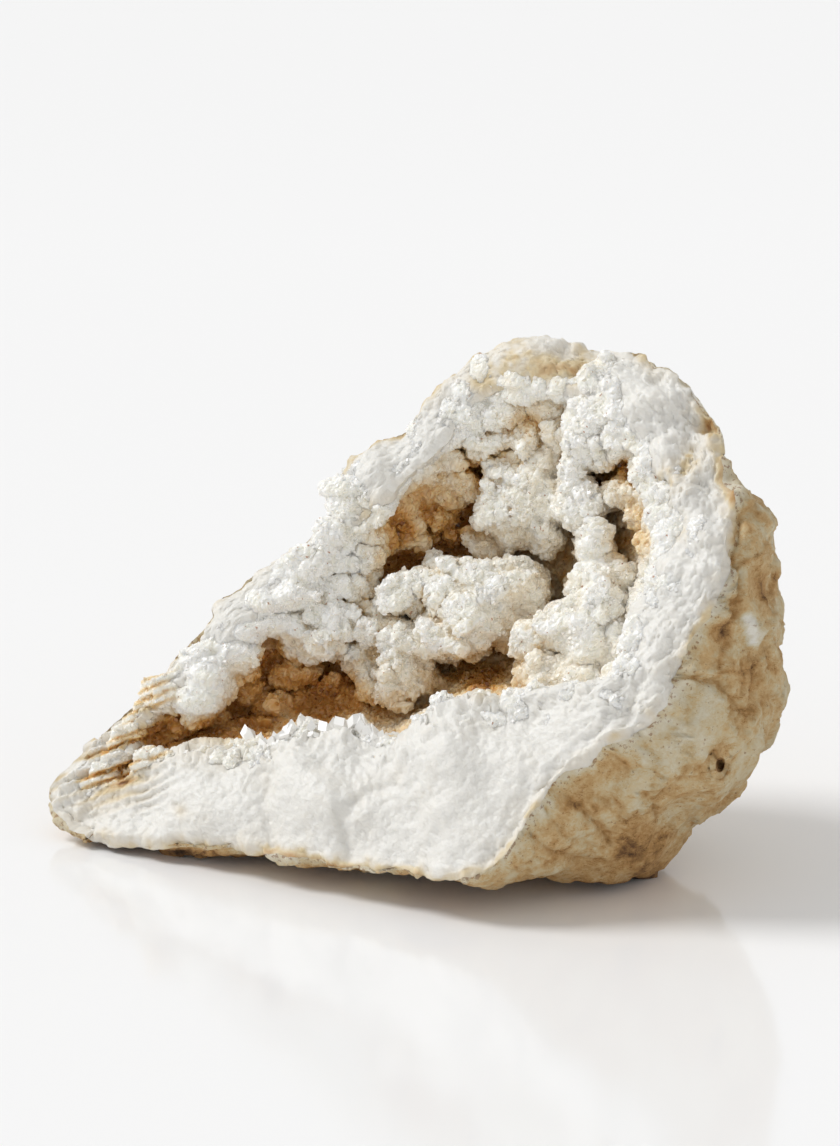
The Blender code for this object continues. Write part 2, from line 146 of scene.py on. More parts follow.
def bumps(points, rows):
    """The summed heights of round bumps: rows of across, rise, radius and height."""
    total = np.zeros(points.shape[:-1])
    for across, rise, radius, height in rows:
        away = ((points[..., 0] - across) ** 2 + (points[..., 1] - rise) ** 2) / radius ** 2
        total += height * np.exp(-away)
    return total


def break_point(turn, inward):
    """The broken face, from its rim at inward 0 to the crest at inward 1."""
    row = round_spline(STATIONS, turn)
    flat = row[..., 0:2] * (1 - inward[..., None]) + row[..., 2:4] * inward[..., None]
    near = BREAK_NEAR + BREAK_ACROSS * flat[..., 0] + BREAK_RISE * flat[..., 1]
    return np.concatenate((flat, (near + bumps(flat, SWELLS))[..., None]), -1)


lean = math.degrees(math.atan(math.hypot(BREAK_ACROSS, BREAK_RISE)))
print("the broken face leans", round(lean), "degrees away from the picture")

# %% [markdown]
# The rind is a deep bowl behind the rim, with worn waves on it. Blender's noise gives the waves: it
# is smooth, it never repeats in a way that shows, and it is the same on each run. The waves push the
# skin straight away from a point in the heart of the stone.

# %% The rind's form
HEART = np.array((14.0, 72.0, -12.0))
BACK_ROUND = 0.7
BACK_DEEPEN = 1.1
SWELL_START = 0.6
RIND_WAVE = 25.0
RIND_DEPTH = 4.0
RIND_RISE = 12
FRONT_FADE = 25
# across, rise, radius and height in millimetres
RIND_BUMPS = (
    (80, 65, 8, 3.0), (73, 56, 5, -2.0), (85, 51, 7, 2.0), (94, 62, 6, 1.5), (66, 38, 9, 2.0),
    (57, 25, 6, 1.5), (47, 24, 5, -2.0), (72, 24, 6, -2.0), (38, 12, 9, 1.5), (63, 11, 7, 2.0),
    (95, 84, 5, -3.0), (92, 74, 4, 2.0), (82, 73, 4, -2.5), (90, 100, 6, 1.5),
)


def waves(places, size, octaves=3):
    """Smooth noise about -1 to 1 at places in millimetres. size is its longest wave."""
    made = [noise.fractal(Vector(place), 1.0, 2.0, octaves) for place in places.reshape(-1, 3) / size]
    return np.array(made).reshape(places.shape[:-1])


def rind_relief(skin):
    """Heights of the rind's large waves, and of its bumps on the side that faces the eye."""
    facing = np.clip(skin[..., 2] / FRONT_FADE + 1, 0, 1)
    return waves(skin, RIND_WAVE) * RIND_DEPTH + bumps(skin, RIND_BUMPS) * facing


def outside_point(turn, depth):
    """The rind, from the rim at depth 0 to the back pole at depth 1."""
    row = round_spline(STATIONS, turn)
    spoke = row[..., 0:2] - BACK_POLE[:2]
    reach = np.linalg.norm(spoke, axis=-1)
    angle = depth * math.pi / 2
    radius = reach * np.cos(angle) ** BACK_ROUND + row[..., 4] * np.sin(math.pi * depth ** SWELL_START)
    flat = BACK_POLE[:2] + spoke / reach[..., None] * radius[..., None]
    rim_near = break_point(turn, np.zeros_like(turn))[..., 2]
    near = rim_near + (BACK_POLE[2] - rim_near) * np.sin(angle) ** BACK_DEEPEN
    skin = np.concatenate((flat, near[..., None]), -1)
    outward = skin - HEART
    outward /= np.linalg.norm(outward, axis=-1)[..., None]
    return skin + outward * (rind_relief(skin) * np.clip(depth * RIND_RISE, 0, 1))[..., None]


FRONT_TURN = 0.87
print("the rim in the middle of the front is at", break_point(np.array(FRONT_TURN), np.array(0)).round(1))

# %% [markdown]
# The hollow is a bowl too, from the crest down to its own deepest point. Behind the front lip it
# falls away more steeply than elsewhere, which makes the long dark pocket there.

# %% The hollow's form
HOLLOW_ROUND = 0.75
HOLLOW_DEEPEN = 1.15
FRONT_STEEPER = 0.5
FRONT_SPAN = 0.16


def hollow_point(turn, depth):
    """The wall behind the crystals, from the crest at depth 0 to the hollow's pole at depth 1."""
    crest = break_point(turn, np.ones_like(turn))
    angle = depth[..., None] * math.pi / 2
    flat = HOLLOW_POLE[:2] + (crest[..., :2] - HOLLOW_POLE[:2]) * np.cos(angle) ** HOLLOW_ROUND
    from_front = np.mod(turn - FRONT_TURN + 0.5, 1.0) - 0.5
    steep = HOLLOW_DEEPEN - FRONT_STEEPER * np.exp(-(from_front / FRONT_SPAN) ** 4)[..., None]
    near = crest[..., 2:] + (HOLLOW_POLE[2] - crest[..., 2:]) * np.sin(angle) ** steep
    return np.concatenate((flat, near), -1)


lip_near = hollow_point(np.array(FRONT_TURN), np.array(0.0))[2]
print("the hollow goes back", round(lip_near - HOLLOW_POLE[2]), "mm from the front lip")

# %% [markdown]
# Rind, broken face and the hollow's lip are one grid: round the opening by columns, and from the
# back over the rim and crest into the hollow by rows. As neighbours share their rows, no gap can
# open between stone and stone. The columns stand evenly along the rim, about 0.7 mm apart, which is
# some two pixels of the picture.

# %% One grid for the whole wall
COLUMNS = 820
RIND_ROWS = 96
BREAK_ROWS = 60
LIP_ROWS = 12
LIP_DEPTH = 0.16


def even_turns(count):
    """Turns that are evenly spaced along the rim."""
    fine = np.linspace(0, 1, 4001)
    rim = break_point(fine, np.zeros_like(fine))
    length = np.concatenate(((0,), np.cumsum(np.linalg.norm(np.diff(rim, axis=0), axis=1))))
    return np.interp(np.arange(count) / count * length[-1], length, fine)


turns = even_turns(COLUMNS)
rind_depths = (np.arange(RIND_ROWS, 0, -1) / (RIND_ROWS + 1)) ** 1.3
inwards = np.arange(BREAK_ROWS + 1) / BREAK_ROWS
lip_depths = np.arange(1, LIP_ROWS + 1) / LIP_ROWS * LIP_DEPTH
wall = np.concatenate((
    outside_point(*np.meshgrid(turns, rind_depths)),
    break_point(*np.meshgrid(turns, inwards)),
    hollow_point(*np.meshgrid(turns, lip_depths)),
))
RIM_ROW = RIND_ROWS
CREST_ROW = RIND_ROWS + BREAK_ROWS
print("wall grid:", wall.shape[0], "rows of", wall.shape[1], "points")


# %% [markdown]
# Relief is laid on by pushing each point of the grid along its normal, straight out of the stone.

# %% Normals of the grid
def grid_normals(grid):
    """Unit normals of a grid that closes on itself sideways, pointing out of the stone."""
    sideways = np.roll(grid, -1, 1) - np.roll(grid, 1, 1)
    along = np.gradient(grid, axis=0)
    normal = np.cross(along, sideways)
    return normal / (np.linalg.norm(normal, axis=-1)[..., None] + 1e-12)


print("the back pole's normal is", grid_normals(wall[:2])[0].mean(0).round(2))

# %% [markdown]
# Weathered limestone looks worn in several sizes at once: soft lumps, thin plates that flaked off
# and left stepped edges, fine wrinkles, and a few cracks. Plates come from cell noise, which parts
# space into cells round scattered points: each cell is a plate at a height of its own, and the
# surface drops along the border, where one flake ends and the next begins.


# %% Cells and plates
def cells(places, size):
    """Distances to the two nearest points of a random packing, in cell widths."""
    found = [noise.voronoi(Vector(place))[0][:2] for place in places.reshape(-1, 3) / size]
    return np.moveaxis(np.array(found).reshape(places.shape[:-1] + (2,)), -1, 0)


def hashed(places, salt):
    """Three numbers from -1 to 1 for each place, the same ones for the same place."""
    turned = places @ np.array(((12.9, 39.3, 73.2), (78.2, 11.1, 52.2), (37.7, 83.2, 9.2)))
    return 2 * np.mod(np.abs(np.sin(turned + salt)) * 43758.5, 1.0) - 1


def plates(places, size):
    """A number from -1 to 1 for the plate each place lies on, and how far its border is, in plates."""
    bent = (places + 0.16 * size * waves(places, size * 0.7)[..., None]) / size
    found = [noise.voronoi(Vector(place)) for place in bent.reshape(-1, 3)]
    seeds = np.array([tuple(seeds[0]) for away, seeds in found])
    border = np.array([away[1] - away[0] for away, seeds in found])
    return hashed(seeds, 4.0)[:, 0].reshape(places.shape[:-1]), border.reshape(places.shape[:-1])


print("plates at the rim:", len(np.unique(plates(wall[RIM_ROW], 19.0)[0])))

# %% [markdown]
# Cracks, ribs and ridges follow lines that are given by a few places in the picture. Each needs only
# the distance of a point from its line.

# %% Lines in the picture
def line_away(points, line):
    """How far points are in the picture from a line through the given places."""
    spot = points[..., :2]
    nearest = np.full(points.shape[:-1], 1e3)
    for start, end in zip(line[:-1], line[1:]):
        start = np.array(start, float)
        run = np.array(end, float) - start
        part = np.clip(np.sum((spot - start) * run, -1) / np.sum(run * run), 0, 1)
        nearest = np.minimum(nearest, np.linalg.norm(spot - start - part[..., None] * run, axis=-1))
    return nearest


# width and depth in millimetres, then the places that a crack runs through
RIND_CRACKS = (
    (0.8, 1.6, ((43, 25), (46, 22), (50, 18.5), (52, 14))),
    (0.7, 1.3, ((60, 29), (63, 26), (65.5, 20))),
    (0.9, 1.2, ((58, 45), (64, 38), (63, 30), (58, 22))),
    (1.0, 1.8, ((71, 61), (80, 59), (84, 55), (88, 50))),
    (1.2, 1.6, ((87, 104), (86.5, 94), (87.5, 83), (86, 76))),
    (0.8, 1.2, ((84, 98), (83.5, 88), (85, 80))),
    (0.9, 1.4, ((90, 66), (92, 60), (91, 52), (88, 45))),
    (0.9, 1.3, ((94, 67), (95.5, 60), (94, 50), (90, 41))),
    (0.8, 1.2, ((88, 64), (88.5, 57), (85, 48), (81, 42))),
    (0.7, 1.0, ((30, 17), (36, 12), (43, 9.5), (50, 9))),
    (0.6, 0.8, ((34, 24), (40, 16), (47, 14))),
    (0.7, 1.0, ((68, 47), (72, 40), (71, 32), (66, 27))),
)
print(len(RIND_CRACKS), "cracks")

# %% [markdown]
# Each size of wear is a term of its own, so that it can be judged alone. Dirt gathers in the gaps
# and cracks, and a few chips are still white, so the same places that are cut in also get a number
# for how dirty they are. Close to the ground the rind is darkened in the same number: that is
# painted shade of the stone's contact shadow.

# %% Relief and dirt of the rind
# where the rind is chipped white or stained dark: across, rise, radius and how much
RIND_SPOTS = (
    (90, 75, 1.6, -0.8), (90.3, 72, 1.5, -0.8), (90, 69.5, 1.0, -0.6), (81, 72.5, 3.0, 0.35),
    (95, 84, 3.5, 0.2), (87, 92, 3.0, 0.15), (60, 12, 9, 0.22), (5, 5, 12, 0.15),
    (70, 57, 4, -0.12), (64, 38, 8, -0.1), (60, 24, 4, -0.12), (78, 54, 6, -0.08),
    (74, 44, 5, -0.1), (92, 55, 9, -0.06), (93, 95, 8, -0.08), (76, 65, 6, 0.1),
    (87, 62, 6, 0.1), (28, 12, 10, 0.06), (66, 52, 4, 0.05), (45, 37, 6, 0.05),
)
# width of the plates and height of their steps in millimetres
PLATE_SIZES = ((19.0, 1.5), (9.0, 0.8))
# how far up from the ground the painted contact shade reaches, in millimetres
GROUND_SHADE_REACH = 9


def rind_detail(skin):
    """Heights on the rind in millimetres, and its dirt and painted shade, from about -1 for white to 1."""
    facing = np.clip(skin[..., 2] / 20 + 1.2, 0, 1)
    dirt = bumps(skin, RIND_SPOTS) * facing
    height = waves(skin, 11.0) * 0.7
    for size, step in PLATE_SIZES:
        value, border = plates(skin, size)
        gap = np.exp(-(border * size / 0.9) ** 2)
        height += step * value * np.clip(border * size / 1.2, 0, 1) - 0.3 * step * gap
        dirt += 0.07 * step * gap - 0.02 * step * value
    wrinkled = skin * (0.7, 1.0, 0.45) + 2 * waves(skin, 15.0)[..., None]
    height -= 0.35 * np.abs(waves(wrinkled, 3.2, 2))
    height += 0.3 * waves(skin, 3.0, 4)
    for width, depth, line in RIND_CRACKS:
        ragged = line_away(skin, line) + 0.5 * waves(skin, 3.0, 2)
        crack = np.exp(-(ragged / width) ** 2) * facing
        height -= depth * crack
        dirt += 0.08 * depth * crack
    # Darker close to the ground: this is painted shade of the stone's contact shadow.
    above_ground = skin[..., 1] * LEVEL + skin[..., 2] * DOWN - MIDDLE[2]
    return height, dirt + 0.35 * np.clip(1 - above_ground / GROUND_SHADE_REACH, 0, 1) ** 2


relief = np.zeros(wall.shape[:2])
relief[:RIM_ROW + 1], rind_dirt = rind_detail(wall[:RIM_ROW + 1])
print("rind relief from", relief.min().round(2), "to", relief.max().round(2), "mm")

# %% [markdown]
# Where the stone broke it is solid calcite: bright, smooth from afar, with low lobes, faint growth
# lines that follow the rind, and a sugary grain. At the left tip the layers stick out as ribs. These
# tables say where, as the photograph shows it.

# %% Lobes, pits and calm places
# ribs at the left tip: height in millimetres, width, then the places each one runs through
TIP_RIBS = (
    (2.0, 1.0, ((-99, 31), (-90, 35.5), (-80, 40), (-66, 44), (-58, 45))),
    (1.6, 0.8, ((-101, 29), (-92, 33), (-84, 36), (-74, 38.5))),
    (1.6, 0.9, ((-102, 26), (-93, 29.5), (-84, 32.5), (-77, 34.5))),
    (1.4, 0.8, ((-103, 22), (-95, 25), (-86, 28))),
    (1.8, 1.0, ((-96, 37), (-86, 43), (-74, 48), (-66, 50))),
    (-1.8, 1.0, ((-97, 28.5), (-90, 31), (-82, 34))),
    (-1.8, 1.0, ((-94, 35.5), (-84, 39.5), (-72, 43.5))),
    (-1.4, 0.8, ((-92, 26), (-84, 29), (-78, 31))),
)
# soft lobes of the face: across, rise, radius and height in millimetres
LOBES = (
    (-80, 23, 8, 1.2), (-64, 25, 10, 2.2), (-46, 25, 8, 1.6), (-30, 25, 11, 2.8), (-33, 34, 6, 1.2),
    (-13, 28, 8, 1.4), (6, 30, 14, 3.0), (8, 40, 8, 1.5), (24, 38, 9, 1.8), (38, 46, 8, 2.2),
    (52, 52, 7, 1.6), (63, 62, 7, 2.0), (62, 74, 7, 2.2), (72, 84, 8, 2.4), (77, 97, 8, 2.4),
    (72, 112, 6, 1.4), (74, 125, 6, 1.8), (66, 134, 8, 2.4), (56, 143, 7, 2.2), (45, 144, 5, 1.4),
    (36, 149, 9, 2.6), (24, 148, 8, 2.2), (13, 142, 7, 2.0), (2, 127, 8, 1.6), (-12, 117, 7, 2.2),
    (-28, 98, 6, 1.2), (-42, 85, 7, 1.6), (-56, 72, 7, 1.6), (-70, 58, 6, 1.0),
)
# pits and knobs of the ridge at the right
PITS = (
    (70, 100, 3, -2.5), (66, 112, 3, -3), (72, 116, 2.5, -2.5), (75, 122, 3, -2.5), (62, 119, 3, -2),
    (78, 112, 2.5, -2), (74, 108, 3, 2), (68, 122, 4, 2), (79.5, 128, 2.2, -3.5), (70, 130, 3, -2),
    (60, 131, 4, 2), (66, 141, 3, -2), (52, 146, 3, -2), (80, 104, 2.5, -1.5), (76, 92, 3, -1.5),
    (70, 90, 3, 1.5), (40, 149, 3, -2), (56, 137, 3, -2), (74, 135, 2.5, -2),
)
# where the druse is fine and even: across, rise, radius and how much
CALM = (
    (30, 149, 15, 1), (12, 142, 8, 0.8), (-12, 118, 12, 1), (4, 128, 8, 0.8), (-28, 98, 7, 0.5),
    (-42, 84, 10, 0.9), (-56, 72, 10, 0.9), (-68, 58, 7, 0.7), (-61, 55, 8, 0.8), (60, 139, 14, 0.25),
    (77, 97, 10, 0.5), (71, 83, 10, 0.4), (62, 72, 10, 0.5), (48, 92, 6, 0.6),
    (42, 68, 12, 0.5), (66, 100, 5, 0.6), (-82, 22, 12, 0.8), (-66, 22, 14, 1), (-46, 20, 14, 1),
    (-28, 22, 14, 1), (-8, 20, 16, 1), (12, 24, 18, 1), (30, 38, 12, 1), (44, 46, 8, 0.8),
)


def calm_at(points):
    """1 where the stone is fine and even, and 0 where it is rough."""
    return np.clip(bumps(points, CALM), 0, 1)


print(len(TIP_RIBS), "ribs,", len(LOBES), "lobes and", len(PITS), "pits")

# %% [markdown]
# A rough calcite surface is made of the ends of countless blocks. Here each cell of a packing holds
# one block, turned at random, and a point is raised to where the block's faces would be above it.
# Modelling the blocks one by one would take millions of faces.


# %% Ends of blocks
def crystal_ends(places, ways, width):
    """Heights in millimetres of small blocks that stick out of a surface at all angles."""
    found = [noise.voronoi(Vector(place))[1] for place in places / width]
    seeds = np.array([[tuple(seed) for seed in row] for row in found])
    first = hashed(seeds, 1.0)
    first /= np.linalg.norm(first, axis=-1)[..., None]
    second = np.cross(first, hashed(seeds, 2.0))
    second /= np.linalg.norm(second, axis=-1)[..., None]
    axes = np.stack((first, second, np.cross(first, second)), -2)
    lean = np.einsum("nkij,nj->nki", axes, ways)
    along = np.einsum("nkij,nkj->nki", axes, places[:, None] / width - seeds) * np.sign(lean)
    half = 0.4 + 0.12 * hashed(seeds, 3.0)[..., :1]
    leave = ((half - along) / np.abs(lean)).min(-1)
    enter = ((-half - along) / np.abs(lean)).max(-1)
    return np.clip(np.where(enter < leave, leave, 0).max(-1), 0, 0.8) * width


sample = crystal_ends(wall[CREST_ROW], grid_normals(wall)[CREST_ROW], 2.2)
print("blocks along the crest stand", sample.mean().round(2), "mm high on average")

# %% [markdown]
# Along the front, the line where the druse ends is the most telling one of the picture, so it has a
# table of its own. The lip below it has a few long grooves and ridges.

# %% Crest line and lip lines
# where the druse ends along the front: across and rise, from the left tip to the right
CREST_LINE = (
    (-80, 32), (-76, 36), (-70, 37), (-66, 38), (-60, 39), (-54, 39.5), (-51, 41), (-46, 39.5),
    (-43, 37), (-40, 39), (-35, 43), (-32, 44), (-28, 42), (-22, 43.5), (-18, 45), (-15, 43),
    (-11, 39), (-5, 38), (-2, 42), (0, 45), (4, 48), (6, 50), (12, 50), (16, 53), (18, 51),
    (20, 48), (25, 48), (27, 50), (30, 52), (37, 55), (44, 55.5), (49, 53.5), (52, 57), (60, 57),
)
# grooves and ridges of the lip: height in millimetres, width, then the places each runs through
LIP_LINES = (
    (-1.2, 1.6, ((-20, 10), (-21, 20), (-16, 25), (-6, 29))),
    (-0.8, 1.4, ((-41, 12), (-42, 22), (-40, 32))),
    (-1.0, 1.5, ((17, 9), (24, 16), (31, 26), (37, 34), (46, 42), (56, 50), (62, 60))),
    (0.8, 0.9, ((18, 6.5), (25, 14), (32, 24), (38, 32), (50, 40.5), (60, 49))),
    (-1.0, 2.0, ((30, 30), (26, 24), (24, 18))),
    (-1.2, 1.2, ((-69, 12.5), (-66, 11.5))),
    (-1.2, 1.5, ((-62, 11), (-57, 11.5))),
    (-0.9, 1.0, ((-67, 22), (-65, 21))),
)


def ridges(skin, rows):
    """The summed heights of ragged ridges: rows of height, width and the line each one follows."""
    total = np.zeros(skin.shape[:-1])
    for rise, width, line in rows:
        ragged = line_away(skin, line) + 0.5 * waves(skin, 4.0, 2)
        total += rise * np.exp(-(ragged / width) ** 2)
    return total


print("ridges on the rim reach", ridges(wall[RIM_ROW], LIP_LINES).max().round(2), "mm")

# %% [markdown]
# Everything that shapes the broken face is added up here: waves, lobes, the ends of coarse and fine
# blocks, pits, and faint growth lines that follow the rim. Towards the left tip its layers, some
# 2.8 mm thick, stand out one by one.

# %% Relief of the broken face
LAYER = 2.8
GROWTH_LINE = 3.4
COARSE_BLOCK = 4.6
FINE_BLOCK = 2.2


def strata(points):
    """Thin layers at the left tip: -1 in the gaps and 1 on the layers, and 0 elsewhere."""
    near_tip = np.clip((-62 - points[..., 0]) / 10, 0, 1)
    climb = points[..., 1] - 0.33 * points[..., 0] + 1.2 * waves(points, 12.0, 4)
    return near_tip * np.sin(climb * 2 * math.pi / LAYER)


def break_detail(skin, from_rim):
    """Heights on the broken face in millimetres. from_rim is how far each point is from the rim."""
    height = waves(skin, 18.0) * 1.3 + waves(skin, 6.0) * 0.25
    near_cell = cells(skin + 2.0 * waves(skin, 8.0)[..., None], 13.0)[0]
    height += 0.5 * (0.45 - near_cell)
    layers = np.sin(from_rim * 2 * math.pi / GROWTH_LINE + 2.5 * waves(skin, 18.0, 2))
    height += 0.1 * layers * np.exp(-from_rim / 9)
    height += 1.3 * bumps(skin, LOBES)
    rough = 1 - 0.8 * calm_at(skin)
    ways = grid_normals(skin).reshape(-1, 3)
    flat_skin = skin.reshape(-1, 3)
    blocks = crystal_ends(flat_skin, ways, COARSE_BLOCK).reshape(rough.shape)
    sugar = crystal_ends(flat_skin, ways, FINE_BLOCK).reshape(rough.shape)
    height += rough * (2.2 * waves(skin, 10.0, 4) + 0.12 * blocks + 0.2 * sugar) + 0.16 * sugar
    height += bumps(skin, PITS)
    in_mouth = np.clip(skin[..., 1] / 7 - 2.6, 0, 1)
    return height + 0.6 * ridges(skin, TIP_RIBS) + 0.45 * in_mouth * strata(skin) + ridges(skin, LIP_LINES)


from_rim = np.linalg.norm(wall - wall[RIM_ROW], axis=-1)
broken = break_detail(wall[RIM_ROW:], from_rim[RIM_ROW:])
blend = np.clip(from_rim[RIM_ROW:] / 2.5, 0, 1)
relief[RIM_ROW:] = relief[RIM_ROW] * (1 - blend) + broken * blend
print("relief from", relief.min().round(2), "to", relief.max().round(2), "mm")

# %% [markdown]
# Now the points move: out by the relief, and near the rim also in and out across the picture, since
# a broken rim is ragged.

# %% Push the grid out
wall = wall + grid_normals(wall) * relief[..., None]
rim_shift = np.exp(-(from_rim / 5.0) ** 2) * (2.2 * waves(wall, 9.0, 4) - 0.3)
spoke = wall[..., :2] - BACK_POLE[:2]
wall[..., :2] += spoke / np.linalg.norm(spoke, axis=-1)[..., None] * rim_shift[..., None]
print("the rim moves by up to", np.abs(rim_shift).max().round(2), "mm")

# %% [markdown]
# Along the front crest the crystals had the hollow's room to grow, so the edge is not a clean line
# but a crown of mounds and smaller blocks that lean back and stand up.

# %% The crown on the front crest
CROWN_ROWS = slice(CREST_ROW - 12, CREST_ROW + 8)
CROWN_WAY = (0.0, 0.93, 0.37)
MOUND_WIDTH = 9.0
CROWN_WIDTH = 4.5
CROWN_REACH = 3.2

crown = wall[CROWN_ROWS]
on_crest = np.exp(-(line_away(crown, CREST_LINE) / CROWN_REACH) ** 2)
up = np.tile(CROWN_WAY, (crown[..., 0].size, 1))
crown_flat = crown.reshape(-1, 3)
stand_up = 0.3 * crystal_ends(crown_flat, up, MOUND_WIDTH)
stand_up += 0.1 * crystal_ends(crown_flat, up, CROWN_WIDTH)
stand_up = stand_up.reshape(on_crest.shape)
wall[CROWN_ROWS] += (stand_up * on_crest)[..., None] * CROWN_WAY
print("the crown stands up to", (stand_up * on_crest).max().round(2), "mm")

# %% [markdown]
# On the right the rind has a small deep hole. The grid is too coarse for its edge, so the points
# around it sink, and a finer cup with a collar, made further down, sits in the dip. Only the side
# that faces the eye sinks, not the back of the stone behind it.

# %% Room for the small hole
HOLE = np.array((81.5, 36.0))
HOLE_HALF = np.array((1.35, 2.1))
HOLE_DEPTH = 3.5

spread = np.linalg.norm((wall[:RIM_ROW, :, :2] - HOLE) / HOLE_HALF, axis=-1)
hole_near = wall[:RIM_ROW][spread < 2.0][:, 2].max()
facing = wall[:RIM_ROW, :, 2] > hole_near - 8
pushed = (HOLE_DEPTH + 2) * np.clip((1.9 - spread) / 0.5, 0, 1) * facing
wall[:RIM_ROW, :, 2] -= pushed
rind_dirt[:RIM_ROW][pushed > 0] = 0.25
print("the small hole is at near", hole_near.round(1), "and sinks", int((pushed > 0).sum()), "points")


# %% [markdown]
# Points and faces become a mesh object. What lies below the floor is worn flat, as on the real
# stone where it rests. Numbers painted on the points, such as their stain and painted shade, are kept
# as named attributes, which the materials read.


# %% Make pieces
def piece(name, points, faces, smooth=True, **painted):
    """A mesh object from points of the stone's frame, with an attribute for each painted number."""
    placed = to_world(points)
    placed[:, 2] = np.maximum(placed[:, 2], 0.0)
    mesh = bpy.data.meshes.new(name)
    mesh.from_pydata(placed.tolist(), [], faces.tolist())
    mesh.polygons.foreach_set("use_smooth", np.full(len(mesh.polygons), smooth))
    for label, values in painted.items():
        layer = mesh.attributes.new(label, "FLOAT", "POINT")
        layer.data.foreach_set("value", np.asarray(values, np.float32).ravel())
    mesh.update()
    made = bpy.data.objects.new(name, mesh)
    bpy.context.scene.collection.objects.link(made)
    print(name, "has", sum(len(face.vertices) - 2 for face in mesh.polygons), "triangles")
    return made


def grid_faces(rows, columns):
    """Quads of a grid that closes on itself sideways, facing out of the stone."""
    row, column = np.meshgrid(np.arange(rows - 1), np.arange(columns), indexing="ij")
    after = (column + 1) % columns
    quads = np.stack((row * columns + column, (row + 1) * columns + column,
                      (row + 1) * columns + after, row * columns + after), -1)
    return quads.reshape(-1, 4)


# %% [markdown]
# Iron in the water left orange and brown stains. Each stain is a soft round spot. Some spots, under
# the top lobe and just behind the front crest, are painted shade, and deep places, places close to
# the wall and shut-in gaps are painted warmer and darker all over as shade. The broken face is tan
# only in its pits and along the rim, and in its pits that is partly painted shade. These spots are
# numbers on the points and not a picture, so the colour stays sharp however near the eye comes.

# %% Stains
# across, rise, radius and strength; spots under the top lobe and behind the front crest are painted shade
STAINS_AND_SHADE = (
    (12, 100, 6, 0.9), (-2, 90, 6, 1.0), (-16, 106, 5, 0.5), (-3, 101, 3, 0.9), (26, 130, 13, 0.3),
    (16, 117, 6, 0.7), (53, 116, 6, 0.4), (57.5, 118, 2.2, 0.9), (-47, 60, 7, 0.75),
    (-62, 45, 8, 0.8), (-50, 43, 7, 0.9), (-76, 46, 7, 0.6), (-24, 56, 8, 0.7), (-86, 29.5, 5, 0.9),
    (-78, 39, 5, 0.5), (-67, 21.5, 1.8, 0.6), (-60, 11, 2.5, 0.6), (-68, 12, 2, 0.6),
    (17, 143, 4, 0.9), (45, 144, 5, 0.9), (28, 141, 8, 0.4), (17, 57, 3.5, 0.9), (38, 86, 6, 0.2),
    (59, 96, 4, 0.5), (36, 146, 4, 0.8), (30, 122, 8, 0.4), (5, 108, 8, 0.45), (-10, 100, 8, 0.5),
    (2, 83, 5, 0.3), (-93, 24, 6, 0.35), (-35, 64, 6, 0.35), (-12, 66, 6, 0.3), (12, 66, 7, 0.25),
)
# where the broken face is tan in its pits and under the top lobe, partly painted shade, and along its rim
PIT_TAN_AND_SHADE = (
    (66, 113, 5, 0.35), (73, 117, 4, 0.35), (71, 100, 4, 0.25), (79.5, 128, 2.5, 0.6), (75, 121, 3, 0.3),
    (27, 147, 9, 0.3), (44, 146, 6, 0.25),
)
RIM_TAN = ((-10, 131, 18, 0.6), (83, 112, 18, 0.5), (-72, 62, 22, 0.35), (-20, 7, 40, 0.5))
# where the druse is warmer and darker close to its wall: iron stain, and painted shade in pockets
WARM_STAIN_AND_SHADE = (
    (-62, 46, 20, 0.5), (-45, 58, 12, 0.6), (-84, 40, 10, 0.4), (-8, 100, 18, 0.3), (12, 102, 12, 0.6),
    (-2, 90, 9, 0.8), (26, 128, 16, 0.12), (-24, 56, 14, 0.6), (17, 57, 12, 0.5), (-30, 47, 10, 0.4),
    (42, 90, 9, 0.45), (58, 101, 9, 0.5), (54, 116, 8, 0.4),
)


def stain_of(points, standing, gap_shade):
    """Stain and painted shade of points of the druse, from 0 for white to 1 for brown.

    standing is in millimetres off the wall, and the last argument is 0 in the open and 1 in a closed gap.
    """
    # Near the wall, deep behind the broken face and shut in, the colour gets warmer: painted shade.
    low = 1 - np.clip(standing / 16, 0, 1)
    sunk = np.clip((break_near(points) - points[..., 2] - 3) / 8, 0, 1)
    patchy = 0.8 + 0.4 * waves(points, 7.0)
    stain = bumps(points, STAINS_AND_SHADE) * patchy * (0.06 + 0.8 * low) * (0.25 + 0.75 * sunk)
    tip = np.clip(0.3 - ridges(points, TIP_RIBS) / 2 - 0.3 * strata(points), 0, 1)
    tip *= np.clip((-66 - points[..., 0]) / 8, 0, 1)
    leftward = np.clip((52 - points[..., 0]) / 30, 0.2, 1)
    deep = np.clip((break_near(points) - points[..., 2]) / 45, 0, 1)
    stain += (0.1 * leftward + 0.9 * bumps(points, WARM_STAIN_AND_SHADE)) * low * patchy * sunk + 0.8 * tip
    stain += (0.15 * deep + 0.4 * gap_shade) * patchy * sunk * leftward ** 0.5
    return np.clip(stain, 0, 1)


print(len(STAINS_AND_SHADE), "stains on the druse and", len(PIT_TAN_AND_SHADE), "on the broken face")

# %% [markdown]
# The rows behind the rim make the rind, closed at the back by a fan of triangles, and the others
# make the broken face. They are two pieces because they are two materials, but they share the row
# of points along the rim. How far a point is from the rim goes along as an attribute, since the rind
# is paler there.

# %% The rind
FAR_FROM_RIM = 99.0

